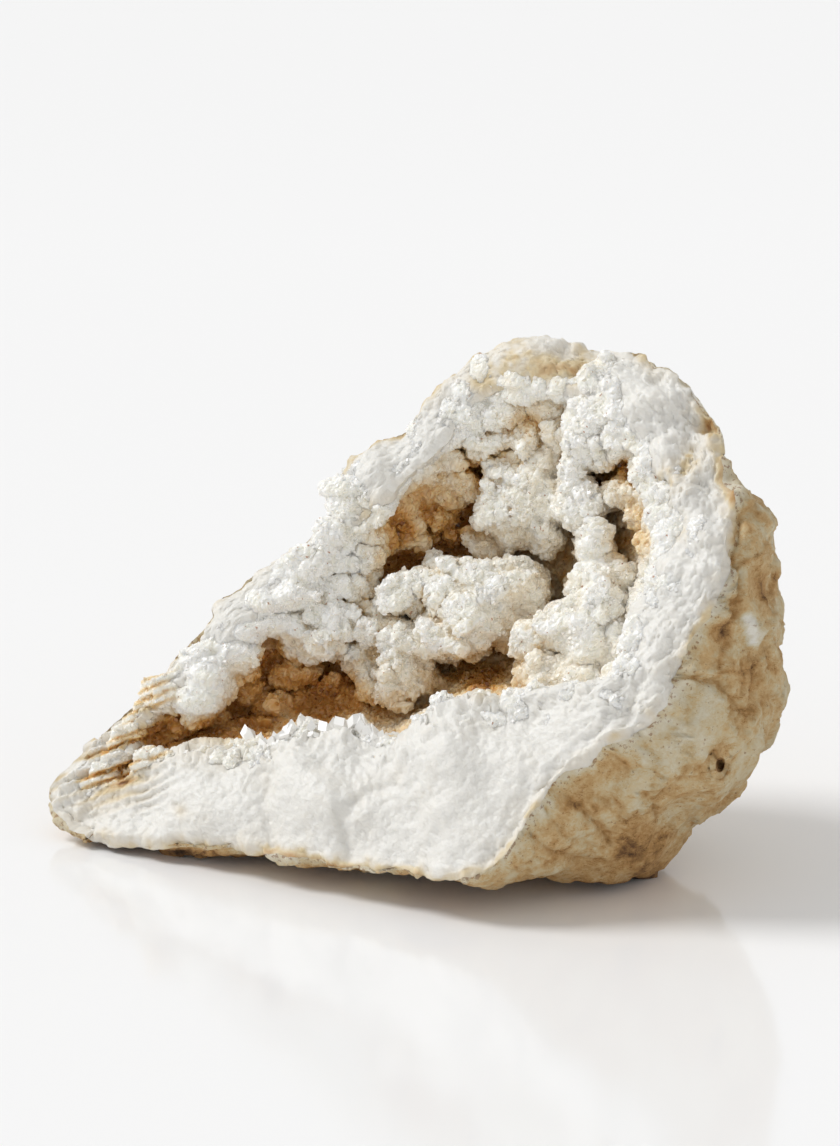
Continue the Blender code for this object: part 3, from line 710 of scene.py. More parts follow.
flat_wall = wall.reshape(-1, 3)
pole_index = (RIM_ROW + 1) * COLUMNS
rind_points = np.concatenate((flat_wall[:pole_index], wall[0].mean(0)[None]))
rind_quads = grid_faces(RIM_ROW + 1, COLUMNS)
cap = np.stack((np.full(COLUMNS, pole_index), np.arange(COLUMNS),
                (np.arange(COLUMNS) + 1) % COLUMNS), -1)
rind = piece("rind", rind_points, np.array(rind_quads.tolist() + cap.tolist(), dtype=object),
             dirt=np.append(rind_dirt.ravel(), 0),
             edge=np.append(from_rim[:RIM_ROW + 1].ravel(), FAR_FROM_RIM))

# %% [markdown]
# Water that ran down the broken face left tan stains in the grooves of the left tip and in a ragged
# band along the rim. Its pits and the underside of the top lobe are tan as well, partly as painted
# shade. Only edges over 55 degrees are drawn sharp: the rest of this face is worn soft.

# %% The broken face's piece
SHARP_ANGLE = 55

broken_rows = wall[RIM_ROW:]
grooved = np.clip(0.2 - ridges(broken_rows, TIP_RIBS) / 2 - 0.25 * strata(broken_rows), 0, 1)
grooved *= np.clip((-70 - broken_rows[..., 0]) / 8, 0, 1) * np.clip(broken_rows[..., 1] / 7 - 2.6, 0, 1)
ragged_rim = np.clip(from_rim[RIM_ROW:] - 2.0 * waves(broken_rows, 5.0, 4), 0, FAR_FROM_RIM)
patches = 0.15 + 0.5 * np.clip(waves(broken_rows, 8.0), 0, 1)
tan_and_shade = (bumps(broken_rows, RIM_TAN) + patches) * np.exp(-(ragged_rim / 3.0) ** 2)
tan_and_shade += bumps(broken_rows, PIT_TAN_AND_SHADE) * (1 + waves(broken_rows, 3.0))
broken_stain = np.clip(bumps(broken_rows, STAINS_AND_SHADE) * 0.5 + 0.6 * grooved + tan_and_shade, 0, 1)
broken_face = piece("broken_face", broken_rows.reshape(-1, 3), grid_faces(len(broken_rows), COLUMNS),
                    stain=broken_stain)
broken_face.data.set_sharp_from_angle(angle=math.radians(SHARP_ANGLE))

# %% [markdown]
# The cup is two sets of rings: a collar that starts on the rind, where rays from the front find it,
# and a bore that narrows as it goes in. Its inside is coloured darker.

# %% The small hole's cup
RINGS = np.array((2.3, 2.0, 1.75, 1.5, 1.25, 1.05))
DROPS = np.array((0.06, 0.24, 0.5, 0.8, 0.96))
CUP_TURNS = np.arange(40) * math.pi / 20
RAY_FROM = Vector((0, 0, 60))
RAY_WAY = Vector((0, 0, -1))


def oval(turn, size):
    """Across and rise of the hole's oval, where size is 1 at the hole's edge."""
    return HOLE[0] + np.cos(turn) * size * HOLE_HALF[0], HOLE[1] + np.sin(turn) * size * HOLE_HALF[1]


rind_tree = BVHTree.FromPolygons([Vector(p) for p in rind_points], rind_quads.tolist())
bearing, ring = np.meshgrid(CUP_TURNS, RINGS)
collar = np.stack((*oval(bearing, ring), np.full(ring.shape, hole_near)), -1)
found = [rind_tree.ray_cast(Vector(spot) + RAY_FROM, RAY_WAY)[0][2] for spot in collar[0]]
collar[..., 2] = np.array(found) + 0.12 * (RINGS[0] - ring)
drop, bearing = np.meshgrid(HOLE_DEPTH * DROPS, CUP_TURNS, indexing="ij")
narrow = 1.0 - 0.05 * drop ** 1.6
bore = np.stack((*oval(bearing, narrow), collar[-1][None, :, 2] - drop), -1)
cup_grid = np.concatenate((collar, bore))
cup_grid += 0.12 * waves(cup_grid, 1.5, 2)[..., None]
cup = piece("small_hole", cup_grid.reshape(-1, 3), grid_faces(len(cup_grid), len(CUP_TURNS)),
            dirt=np.where(np.arange(len(cup_grid)) < len(RINGS), 0.05, 0.25).repeat(len(CUP_TURNS)),
            edge=np.full(cup_grid[..., 0].size, FAR_FROM_RIM))

# %% [markdown]
# The druse hangs in rounded lumps with ledges and pockets between them, so a grid can't hold it: it
# folds over itself. Balls stand for the lumps, and a voxel remesh melts them and a sheet on the wall
# into one skin, as grown crystal does. Metaballs would melt as well, but much more slowly. This table
# is the druse as the photograph shows it, lump by lump.

# %% Lumps of druse
# across, rise, how near the front comes, and half-sizes across and up
LUMPS = (
    # knobs under the top lobe, then the knobbly patch below them
    (22, 139, -26, 5, 5), (14, 138, -29, 5, 4), (32, 139, -26, 5, 3), (40, 139, -25, 5, 4),
    (48, 140, -19, 6, 4), (13, 131, -28, 7, 6), (20, 126, -30, 7, 5), (25, 134, -26, 7, 6),
    (37, 133, -23, 7, 6), (31, 126, -26, 8, 5), (40, 126, -21, 5, 5), (35, 120, -26, 5, 4),
    # the ledge along the upper left rim and the shaded slope under it
    (-12, 115, -31, 10, 6), (-2, 118, -32, 10, 6), (5, 126, -31, 6, 6), (7, 120, -35, 5, 4),
    (12, 114, -38, 6, 4), (3, 105, -42, 7, 4), (-6, 104, -40, 6, 3), (10, 98, -45, 5, 3),
    (1, 99, -45, 4, 2), (-20, 110, -30, 6, 6), (-8, 108, -38, 11, 5), (5, 111, -41, 8, 5),
    (-20, 103, -31, 7, 5),
    # the mass between the brown pockets and the right wall
    (25, 114, -29, 7, 6), (32, 108, -23, 8, 8), (22, 107, -27, 6, 6), (36, 116, -28, 5, 6),
    (35, 99, -25, 6, 5), (27, 101, -28, 6, 5), (20, 96, -37, 6, 4), (38, 107, -22, 4, 5),
    # round the two brown pockets
    (-25, 97, -27, 6, 5), (-14, 98, -32, 7, 4), (-4, 97, -42, 4, 2.5),
    (-28, 89, -27, 8, 5), (-18, 91, -31, 6, 5),
    # the broad slope that falls away from the left rim
    (-35, 82, -26, 8, 5), (-22, 84, -29, 8, 4), (-5, 82, -23, 8, 5), (-25, 75, -27, 8, 4),
    (-14, 78, -32, 6, 4), (-9, 72, -27, 8, 4), (-44, 80, -28, 6, 4), (-49, 72, -29, 7, 4),
    (-38, 73, -30, 7, 4), (-31, 78, -33, 6, 3), (-30, 68, -34, 8, 4), (-19, 67, -32, 6, 3),
    (-57, 67, -32, 6, 5),
    # the big rounded mass in the middle, and its foot
    (22, 84, -13, 13, 8), (10, 81, -17, 8, 8), (31, 82, -16, 6.5, 7), (17, 75, -11, 11, 7),
    (7, 88, -28, 6, 4), (28, 74, -15, 8, 7), (4, 71, -15, 7, 6), (-3, 67, -19, 7, 6),
    (10, 70, -14, 10, 5), (-5, 61, -23, 7, 5), (0, 58, -25, 7, 5), (-13, 57, -30, 4, 5),
    (-6, 54, -24, 5, 5),
    # what hangs over the long pocket at the left, and two knobs inside it
    (-60, 58, -28, 8, 7), (-63, 52, -28, 6, 6), (-52, 65, -30, 8, 6), (-72, 54, -32, 7, 5),
    (-27, 70, -28, 7, 3.5), (-16, 64, -30, 6, 4), (-14, 59, -34, 5, 4), (-42, 49, -41, 4, 4),
    (-25, 53, -43, 5, 4), (-71, 44, -42, 6, 4), (-59, 46, -43, 6, 4), (-50, 54, -43, 6, 5),
    (-36, 60, -44, 6, 5), (-33, 49, -46, 6, 4), (-16, 49, -38, 5, 4), (-46, 43, -36, 5, 3),
    # the column and the sparkling mass on the right wall
    (48, 95, 2, 4, 7), (50, 85, 6, 6, 8), (44, 84, 0, 3, 3), (55, 86, 4, 6, 6), (40, 73, 8, 8, 7),
    (33, 70, 2, 5, 5), (34, 61, 6, 6, 5), (47, 69, 14, 8, 9), (51, 77, 12, 8, 8), (44, 61, 10, 8, 6),
    (55, 67, 16, 6, 7), (36, 57.5, 10, 6, 5), (46, 58.5, 17, 6, 5), (55, 60, 24, 5, 4),
    # heaps of crystals that stand up behind the front crest
    (-75, 33.5, -27, 5, 3), (-65, 35.5, -22, 6, 3), (-53, 38, -17, 5, 3), (-38, 37, -6, 4, 4),
    (-32, 41.5, -6, 4, 4), (-24, 40, -2, 4, 4), (-17, 42, 0, 4, 4), (-7, 35, 11, 6, 4),
    (1, 42, 12, 4, 4), (8, 47, 14, 5, 4.5), (15, 49.5, 16, 3.5, 4.5), (22, 45, 22, 5, 4),
    (29, 48.5, 24, 5, 4.5), (40, 52, 29, 7, 4.5), (53, 54, 35, 5, 4.5), (60, 54.5, 39, 4, 4),
    # the upper right wall, with two brown pits left open in it
    (52, 141, -6, 8, 7), (50, 132, -4, 8, 8), (46, 124, -6, 6, 6), (43, 115, -9, 4, 8),
    (44, 108, -8, 4.5, 7), (56, 134, 0, 7, 9), (57, 126, 2, 6, 7), (51, 122, -5, 6, 4),
    (57, 110, -2, 6, 3), (48, 105, -7, 3, 5), (63, 108, 5, 5, 7), (66, 100, 12, 5, 7),
    (63, 118, 4, 4, 7), (64, 92, 14, 4, 6),
)
print(len(LUMPS), "lumps")

# %% [markdown]
# Between the lumps a thin layer of crystal covers the bare wall. It is a closed sheet: its front
# stands off the wall by 1.8 mm, less near the crest of the front lip, and its back lies in the stone.

# %% A sheet over the hollow's wall
SHEET_THICK = 1.8
SHEET_FADE = 0.08
NO_FADE = 0.001
FRONT_FROM = 0.7
SHEET_ROOT = 4.0
SHEET_COLUMNS = 300
SHEET_ROWS = 60


def hollow_normal(turn, depth):
    """The way out of the wall into the hollow, at right angles to the wall."""
    step = 0.002
    low = np.clip(depth - step, 0, 1 - 2 * step)
    high = np.clip(depth + step, 2 * step, 1 - step)
    along = hollow_point(turn, high) - hollow_point(turn, low)
    middle = (low + high) / 2
    round_it = hollow_point(turn + step, middle) - hollow_point(turn - step, middle)
    normal = np.cross(along, round_it)
    normal = normal / np.linalg.norm(normal, axis=-1)[..., None]
    return normal * np.sign(normal[..., 2:])


sheet_turns, sheet_depths = np.meshgrid(even_turns(SHEET_COLUMNS), np.linspace(0, 0.995, SHEET_ROWS))
hollow_wall = hollow_point(sheet_turns, sheet_depths)
hollow_way = hollow_normal(sheet_turns, sheet_depths)
fade = np.where(sheet_turns > FRONT_FROM, SHEET_FADE, NO_FADE)
thick = SHEET_THICK * np.clip(sheet_depths / fade, 0.05, 1)
sheet = np.concatenate((
    (hollow_wall - hollow_way * SHEET_ROOT)[::-1],
    hollow_wall + hollow_way * thick[..., None],
))
sheet_quads = grid_faces(2 * SHEET_ROWS, SHEET_COLUMNS)
print("sheet:", len(sheet_quads), "quads")

# %% [markdown]
# Each lump is a stretched ball whose back reaches to the wall, so that it is grown on and doesn't
# hang in the air. For that the wall has to be found behind any place in the picture.


# %% How near broken face and wall are
def break_near(points):
    """How near the broken face is at the places of points in the picture."""
    plane = BREAK_NEAR + BREAK_ACROSS * points[..., 0] + BREAK_RISE * points[..., 1]
    return plane + bumps(points, SWELLS)


def wall_near(across, rise):
    """How near the wall behind the crystals is, at a place in the picture."""
    fine = np.linspace(0, 1, 257)
    crest = break_point(fine, np.ones_like(fine))[:, :2] - HOLLOW_POLE[:2]
    bearing = np.unwrap(np.arctan2(crest[:, 1], crest[:, 0]))
    aim = np.array((across, rise)) - HOLLOW_POLE[:2]
    heading = math.atan2(aim[1], aim[0])
    while heading > bearing[0]:
        heading -= 2 * math.pi
    while heading < bearing[-1]:
        heading += 2 * math.pi
    turn = np.interp(heading, bearing[::-1], fine[::-1])
    edge = break_point(turn, np.ones(1)[0])[:2] - HOLLOW_POLE[:2]
    part = min(math.hypot(*aim) / math.hypot(*edge), 1.0)
    depth = math.acos(part ** (1 / HOLLOW_ROUND)) * 2 / math.pi
    return float(hollow_point(turn, np.array(depth))[2])


print("behind the middle of the picture the wall is at", round(wall_near(10, 80), 1), "mm")


# %% [markdown]
# Icospheres are the plainest balls: their points are spread evenly, so nothing shows where a pole
# would be. One ball is made with Blender's own tool, read once and copied as numbers.

# %% Balls for the lumps
NEAR_SHARE = 0.6


def unit_ball(subdivisions):
    """Points and triangles of a ball with a radius of 1."""
    bpy.ops.mesh.primitive_ico_sphere_add(subdivisions=subdivisions, radius=1.0)
    ball = bpy.context.object
    points = np.array([corner.co for corner in ball.data.vertices])
    faces = np.array([face.vertices[:] for face in ball.data.polygons])
    bpy.data.objects.remove(ball)
    return points, faces


ball_points, ball_faces = unit_ball(4)
lump_points = []
lump_faces = []
for index, (across, rise, front, half_across, half_up) in enumerate(LUMPS):
    half_near = (half_across + half_up) * NEAR_SHARE
    near = front - half_near
    root = max(near - wall_near(across, rise), half_near)
    reach = np.where(ball_points[:, 2] > 0, half_near, root)
    shape = ball_points * (half_across, half_up, 1)
    shape[:, 2] *= reach
    lump_points.append(shape + (across, rise, near))
    lump_faces.append(ball_faces + index * len(ball_points))
print("balls for the lumps have", sum(map(len, lump_faces)), "triangles")

# %% [markdown]
# Balls are too regular for crystal. Smooth noise pushes their points about, most in the rough parts,
# which turns them into uneven masses with necks and overhangs. Blender's vector noise starts from
# the clock until it is given a seed, so it gets one here: without it each run would make another
# geode.

# %% Push points about
WARP_SEED = 3
# size of the waves and how far they push, in millimetres
WARPS = ((14.0, 3.6), (6.0, 1.8))

noise.seed_set(WARP_SEED)


def warped(points):
    """Points pushed about by smooth noise."""
    rough = 1 - 0.8 * calm_at(points)[..., None]
    for size, reach in WARPS:
        push = [noise.turbulence_vector(Vector(place), 1, False) for place in points * (1, 1.5, 1) / size]
        points = points + np.array(push) * reach * rough
    return points


lump_flat = warped(np.concatenate(lump_points))
moved = np.linalg.norm(lump_flat - np.concatenate(lump_points), axis=1)
print("the lumps' points move by", moved.mean().round(2), "mm on average")

# %% [markdown]
# Ragged edges and knobbly masses come from small balls strewn over the big ones before all of it
# melts together. They sit where crystals had room to grow, on the side that faces the opening, and
# on the sheet. Random numbers come from a generator with a fixed start, so they are the same on each
# run.

# %% Nodules on the lumps and the sheet
NODULE_HALF = (0.9, 2.3)
SHEET_NODULES = 1500
SHEET_REACH = 0.8

rng = np.random.default_rng(5)
small_points, small_faces = unit_ball(2)


def nodule_seats():
    """Middles for nodules, each just under the surface that carries it."""
    seats = []
    for across, rise, front, half_across, half_up in LUMPS:
        half_near = (half_across + half_up) * NEAR_SHARE
        count = int(0.2 * (half_across + half_up) ** 2)
        way = rng.normal(0, 1, (count, 3))
        way[:, 2] = np.abs(way[:, 2]) * 1.2 - 0.5
        way /= np.linalg.norm(way, axis=1)[:, None]
        seats.append((across, rise, front - half_near) + way * (half_across, half_up, half_near) * 0.95)
    turn = rng.uniform(0, 1, SHEET_NODULES)
    depth = rng.uniform(0, SHEET_REACH, SHEET_NODULES)
    seats.append(hollow_point(turn, depth))
    return np.concatenate(seats)


def ball_sizes(halves, count):
    """Half-sizes of balls in three directions, more of them small than large."""
    return np.exp(rng.uniform(*np.log(halves), (count, 1))) * rng.uniform(0.8, 1.2, (count, 3))


seats = nodule_seats()
seats = seats[calm_at(seats) < rng.uniform(0, 0.6, len(seats))]
size = ball_sizes(NODULE_HALF, len(seats))
print(len(seats), "nodules")

# %% [markdown]
# A line where druse and broken stone meet would give the trick away. Larger clumps lie over the
# crest, some on the wall and some on the broken face, and hide it as they do on the real stone.

# %% Clumps that lie over the crest
CLUMPS = 170
CLUMP_HALF = (2.4, 5.5)

turn = rng.uniform(0.1, 0.72, CLUMPS)
inward = 1 - np.abs(rng.normal(0, 0.22, CLUMPS))
clump_half = rng.uniform(*CLUMP_HALF, (CLUMPS, 1)) * rng.uniform(0.8, 1.2, (CLUMPS, 3))
clump_seats = break_point(turn, np.clip(inward, 0.3, 1))
clump_seats[:, 2] -= clump_half[:, 2] * 0.6
print(len(clump_seats), "clumps over the crest")

# %% [markdown]
# The front crest gets clumps of its own, just under its line, from 2 to 6 mm across.

# %% Clumps along the front crest
FRONT_CLUMPS = 200
FRONT_CLUMP_HALF = (1.0, 3.2)

along = np.sort(rng.uniform(0, len(CREST_LINE) - 1, FRONT_CLUMPS))
steps = np.arange(len(CREST_LINE))
crest_spots = np.array(CREST_LINE)
front_seats = np.stack([np.interp(along, steps, crest_spots[:, axis]) for axis in (0, 1)], -1)
front_half = ball_sizes(FRONT_CLUMP_HALF, FRONT_CLUMPS)
front_seats[:, 1] -= np.abs(rng.normal(0, 1.5, FRONT_CLUMPS)) + front_half[:, 1] * 0.35
front_near = break_near(front_seats) - front_half[:, 2] * rng.uniform(0.4, 1.5, FRONT_CLUMPS)
front_seats = np.column_stack((front_seats, front_near))
print("clumps along the front from", front_seats[0].round(1), "to", front_seats[-1].round(1))

# %% [markdown]
# Thousands of objects would make Blender slow. One array holds the points of all small balls: the
# unit ball's points, times each size, plus each middle.

# %% All the small balls as one mesh
all_seats = np.concatenate((seats, clump_seats, front_seats))
all_halves = np.concatenate((size, clump_half, front_half))
nodule_points = (all_seats[:, None] + small_points[None] * all_halves[:, None]).reshape(-1, 3)
first_points = len(small_points) * np.arange(len(all_seats))
nodule_faces = (small_faces[None] + first_points[:, None, None]).reshape(-1, 3)
nodule_points = warped(nodule_points)
print(len(all_seats), "small balls")

# %% [markdown]
# A voxel remesh draws one skin round everything, on a lattice of 0.5 mm, and a few rounds of
# smoothing take the lattice's steps away. Booleans would keep a crease where balls meet, and would
# be slow with so many.

# %% Melt sheet, lumps and nodules together
MELT = 0.5
SOFTEN_ROUNDS = 5

sheet_flat = sheet.reshape(-1, 3)
last_row = (2 * SHEET_ROWS - 1) * SHEET_COLUMNS
sheet_ends = (np.arange(SHEET_COLUMNS)[::-1], np.arange(SHEET_COLUMNS) + last_row)
rough_points = np.concatenate((sheet_flat, lump_flat, nodule_points))
rough_faces = sheet_quads[:, ::-1].tolist() + [row.tolist() for row in sheet_ends]
rough_faces += (np.concatenate(lump_faces) + len(sheet_flat)).tolist()
rough_faces += (nodule_faces + len(sheet_flat) + len(lump_flat)).tolist()
rough_mesh = bpy.data.meshes.new("rough_druse")
rough_mesh.from_pydata((rough_points * MM).tolist(), [], rough_faces)
rough_druse = bpy.data.objects.new("rough_druse", rough_mesh)
bpy.context.scene.collection.objects.link(rough_druse)
melt = rough_druse.modifiers.new("melt", "REMESH")
melt.mode = "VOXEL"
melt.voxel_size = MELT * MM
soften = rough_druse.modifiers.new("soften", "SMOOTH")
soften.factor = 0.5
soften.iterations = SOFTEN_ROUNDS


def vectors(rows, label):
    """The vectors that each of Blender's rows holds under a label, as an array."""
    flat = np.empty(len(rows) * 3)
    rows.foreach_get(label, flat)
    return flat.reshape(-1, 3)


melted = rough_druse.evaluated_get(bpy.context.evaluated_depsgraph_get()).to_mesh()
melted_points = vectors(melted.vertices, "co") / MM
melted_normals = vectors(melted.vertex_normals, "vector")
melted_faces = np.array([face.vertices[:] for face in melted.polygons])
bpy.data.objects.remove(rough_druse)
print("melted druse:", len(melted_faces), "quads")

# %% [markdown]
# Only the side towards the hollow is ever seen, so what lies inside the stone goes. A point is in
# the stone if it is behind the nearest spot of the hollow's wall and also behind the broken face. A
# face stays if any of its corners is out, or less than 0.8 mm in.

# %% Keep the side that shows
BURIED = 0.8

wall_quads = grid_faces(SHEET_ROWS, SHEET_COLUMNS)
wall_tree = BVHTree.FromPolygons([Vector(p) for p in hollow_wall.reshape(-1, 3)], wall_quads.tolist())
way_flat = hollow_way.reshape(-1, 3)


def off_wall(points):
    """How far points stand off the hollow's wall or the broken face, less than 0 within the stone."""
    found = [wall_tree.find_nearest(Vector(point)) for point in points]
    spots = np.array([hit[0] for hit in found])
    ways = way_flat[wall_quads[[hit[2] for hit in found], 0]]
    return np.maximum(np.sum((points - spots) * ways, -1), points[:, 2] - break_near(points))


standing = off_wall(melted_points)
shown = (standing > -BURIED)[melted_faces].any(1)
kept, renumbered = np.unique(melted_faces[shown], return_inverse=True)
druse_faces = renumbered.reshape(-1, 4)
druse_points = melted_points[kept]
druse_normals = melted_normals[kept]
print("shown druse:", len(druse_faces), "quads")

# %% [markdown]
# The skin gets its fine form by pushing its points along their normals: ledges with a sharp lower
# edge, low domes of some 6 mm, smooth waves, and on top the ends of blocks of 2.8 and 1.5 mm, which
# are the grains of the druse. The calm parts get less of it.

# %% Ledges, domes and grains
LEDGE = 9.0
DOME = 6.0
COARSE_GRAIN = 2.8
FINE_GRAIN = 1.5


def domes(places, size):
    """Rounded domes side by side, 1 on top and 0 in the gaps. size is their width."""
    near_cell = cells(places, size)[0]
    return np.sqrt(np.clip(1 - (near_cell / 0.9) ** 2, 0, 1))


def ledges(places):
    """Saw teeth that stand proud at their lower edge and are cut in sharply below it."""
    climb = places[..., 1] * 0.9 + places[..., 2] * 0.3 + 9 * waves(places, 18.0)
    part = np.mod(climb / LEDGE, 1.0)
    return np.minimum((1 - part) / 0.85, part / 0.15)


rough = 1 - 0.85 * calm_at(druse_points)
ledged = np.clip(0.55 + 0.9 * waves(druse_points, 24.0), 0, 1)
raised = rough * (2.0 * ledges(druse_points) * ledged + 0.2 * domes(druse_points, DOME) - 1.0)
raised += 1.1 * waves(druse_points, 8.0, 4)
druse_points = druse_points + druse_normals * raised[:, None]
fine = 0.3 * rough * crystal_ends(druse_points, druse_normals, COARSE_GRAIN)
fine += (0.25 + 0.25 * rough) * crystal_ends(druse_points, druse_normals, FINE_GRAIN)
fine += 0.6 * ridges(druse_points, TIP_RIBS) * np.clip((-62 - druse_points[:, 0]) / 6, 0, 1)
fine += 0.45 * strata(druse_points)
druse_points = druse_points + druse_normals * fine[:, None]
print("grains and ribs stand up to", fine.max().round(2), "mm")

# %% [markdown]
# Rays that leave each point towards the opening tell how shut in it is: the more of them that hit other
# crystal, the warmer and darker its colour, which is painted shade in the gaps between the lumps.

# %% Painted shade: how shut in each point is
RAY_START = 1.2
RAY_LENGTH = 16.0
RAY_WAYS = ((0, 0, 1), (0.7, 0.1, 0.7), (-0.7, 0.1, 0.7), (0, 0.75, 0.65), (0.1, -0.75, 0.65))

druse_tree = BVHTree.FromPolygons([Vector(p) for p in druse_points], druse_faces.tolist())
starts = druse_points + druse_normals * RAY_START
gap_shade = np.zeros(len(druse_points))
for way in RAY_WAYS:
    ray = Vector(way)
    hits = [druse_tree.ray_cast(Vector(start), ray, RAY_LENGTH)[0] is not None for start in starts]
    gap_shade += np.array(hits) / len(RAY_WAYS)
stained = stain_of(druse_points, standing[kept], gap_shade)
print("points that no ray leaves:", int((gap_shade > 0.99).sum()))

# %% [markdown]
# A mesh of half a million triangles is hard to handle, so the skin is shared out over three pieces.
# Each takes the faces that are nearest to its own third of the lumps. Its faces are flat shaded,
# because crystals have no rounded faces.

# %% Skin pieces
SKIN_PARTS = 3

lump_middles = np.array([(across, rise) for across, rise, front, half_across, half_up in LUMPS])
face_middles = druse_points[druse_faces].mean(1)
away = np.linalg.norm(face_middles[:, None, :2] - lump_middles[None], axis=-1)
owner = away.argmin(1)
in_order = np.argsort(owner, kind="stable")
skins = []
for part, mine in enumerate(np.array_split(in_order, SKIN_PARTS)):
    used, faces = np.unique(druse_faces[mine], return_inverse=True)
    skins.append(piece(f"druse_skin_{part + 1}", druse_points[used], faces.reshape(-1, 4), smooth=False,
                       stain=stained[used]))

# %% [markdown]
# The sugar sparkle comes from thousands of small flat-faced crystals. Calcite grows as rhombs,
# six-faced blocks with one sharp corner outwards, and as longer pointed ones where it had room. All
# of them are built at once as arrays and joined into a few meshes.


# %% Crystals as arrays
def rhombs(feet, axes, half_width, half_length, spin):
    """Points and faces of one rhomb for each foot, with a corner along its axis."""
    side = np.cross(axes, (0.31, 0.90, 0.29))
    side /= np.linalg.norm(side, axis=1)[:, None]
    other = np.cross(axes, side)
    angle = np.array((0, 0, 60, 120, 180, 240, 300, 0)) * math.pi / 180
    out = np.array((0, 1, 1, 1, 1, 1, 1, 0))
    up = np.array((1, 1, -1, 1, -1, 1, -1, -3)) / 3 * np.array((3, 1, 1, 1, 1, 1, 1, 1))
    angle = angle + spin[:, None]
    place = feet[:, None] + axes[:, None] * (half_length[:, None] * up)[..., None]
    place = place + side[:, None] * (half_width[:, None] * out * np.cos(angle))[..., None]
    place = place + other[:, None] * (half_width[:, None] * out * np.sin(angle))[..., None]
    upper = [(0, 1, 2, 3), (0, 3, 4, 5), (0, 5, 6, 1)]
    lower = [(7, 2, 1, 6), (7, 4, 3, 2), (7, 6, 5, 4)]
    faces = np.array(upper + lower)[None] + 8 * np.arange(len(feet))[:, None, None]
    return place.reshape(-1, 3), faces.reshape(-1, 4)


def scatter(rng, points, faces, allowed, count):
    """Places, directions and faces for crystals on a surface, by area, on the allowed faces only."""
    corners = points[faces]
    normal = np.cross(corners[:, 2] - corners[:, 0], corners[:, 3] - corners[:, 1])
    area = np.linalg.norm(normal, axis=1)
    chance = area * allowed
    pick = rng.choice(len(faces), count, p=chance / chance.sum())
    share = rng.dirichlet((1, 1, 1, 1), count)
    return np.sum(corners[pick] * share[..., None], 1), normal[pick] / area[pick][:, None], pick


one_rhomb = rhombs(np.zeros((1, 3)), np.array(((0.0, 0.0, 1.0),)), np.ones(1), np.ones(1), np.zeros(1))
print("a rhomb has", len(one_rhomb[0]), "corners and", len(one_rhomb[1]), "faces")

# %% [markdown]
# Loose-looking grains stick out all over the druse, each a rhomb of about 1 mm that leans its own
# way and has the stain and painted shade of the spot it grows on. The skin's faces may be wound
# either way round, so the ways out of them are turned if most of them point away from the eye. A
# generator of their own keeps these crystals as they are when the balls before them change.

# %% Sugar grains all over the druse
GRAINS = 2500
GRAIN_HALF = (0.35, 0.8)
OFF_WALL = 0.3

rng = np.random.default_rng(7)
open_side = off_wall(face_middles) > OFF_WALL
feet, ways, pick = scatter(rng, druse_points, druse_faces, open_side, GRAINS)
if np.mean(ways @ (0.0, 0.0, 1.0)) < 0:
    ways = -ways
axes = ways + rng.normal(0, 0.45, (GRAINS, 3))
axes /= np.linalg.norm(axes, axis=1)[:, None]
half_width = rng.uniform(*GRAIN_HALF, GRAINS)
half_length = half_width * rng.uniform(0.8, 1.7, GRAINS)
points, faces = rhombs(feet, axes, half_width, half_length, rng.uniform(0, 2, GRAINS))
grains = piece("druse_grains", points, faces, smooth=False,
               stain=np.repeat(stained[druse_faces[pick, 0]], 8))

# %% [markdown]
# On the front crest single crystals stand up against the dark pocket behind them. The first ones are
# the large ones, which the photograph shows left of the middle.

# %% Pointed crystals along the front crest
CREST_COUNT = 110
LARGE_CREST = 28
LARGE_STRETCH = (6, 17)

along = rng.uniform(0, len(crest_spots) - 1, CREST_COUNT)
along[:LARGE_CREST] = rng.uniform(*LARGE_STRETCH, LARGE_CREST)
feet = np.stack([np.interp(along, steps, crest_spots[:, axis]) for axis in (0, 1)], -1)
large = np.arange(CREST_COUNT) < LARGE_CREST
feet[:, 1] += np.where(large, 2.0, -np.abs(rng.normal(0, 1.0, CREST_COUNT)))
feet = np.column_stack((feet, break_near(feet) - rng.uniform(-0.5, 3.0, CREST_COUNT)))
axes = np.array((0, 1.0, 0.3)) + rng.normal(0, 1, (CREST_COUNT, 3)) * np.where(large, 0.35, 0.7)[:, None]
axes /= np.linalg.norm(axes, axis=1)[:, None]
half_width = rng.uniform(0.6, 1.2, CREST_COUNT) + np.where(large, 0.9, 0)
half_length = half_width * (rng.uniform(0.9, 1.5, CREST_COUNT) + np.where(large, 0.6, 0))
points, faces = rhombs(feet, axes, half_width, half_length, rng.uniform(0, 2, CREST_COUNT))
crest_crystals = piece("crest_crystals", points, faces, smooth=False,
                       stain=np.zeros(len(points)))

# %% [markdown]
# ## Finishes
# Colours are given as the eye sees them, in sRGB hex, and turned into the linear values that
# Blender's shaders work with. Every pattern is worked out by the shader from places in metres, so
# its scale is one over a real size.


# %% Colours and nodes
def linear(code):
    """A linear colour from an sRGB hex code."""
    parts = (int(code[k:k + 2], 16) / 255 for k in (1, 3, 5))
    return (*(p / 12.92 if p <= 0.04045 else ((p + 0.055) / 1.055) ** 2.4 for p in parts), 1.0)


def add(material, kind, settings=None, sockets=None):
    """Adds a node to a material or a world, with settings, and values or links for its sockets."""
    made = material.node_tree.nodes.new("ShaderNode" + kind)
    for name, value in (settings or {}).items():
        setattr(made, name, value)
    for name, value in (sockets or {}).items():
        if isinstance(value, bpy.types.NodeSocket):
            material.node_tree.links.new(value, made.inputs[name])
        else:
            made.inputs[name].default_value = value
    return made


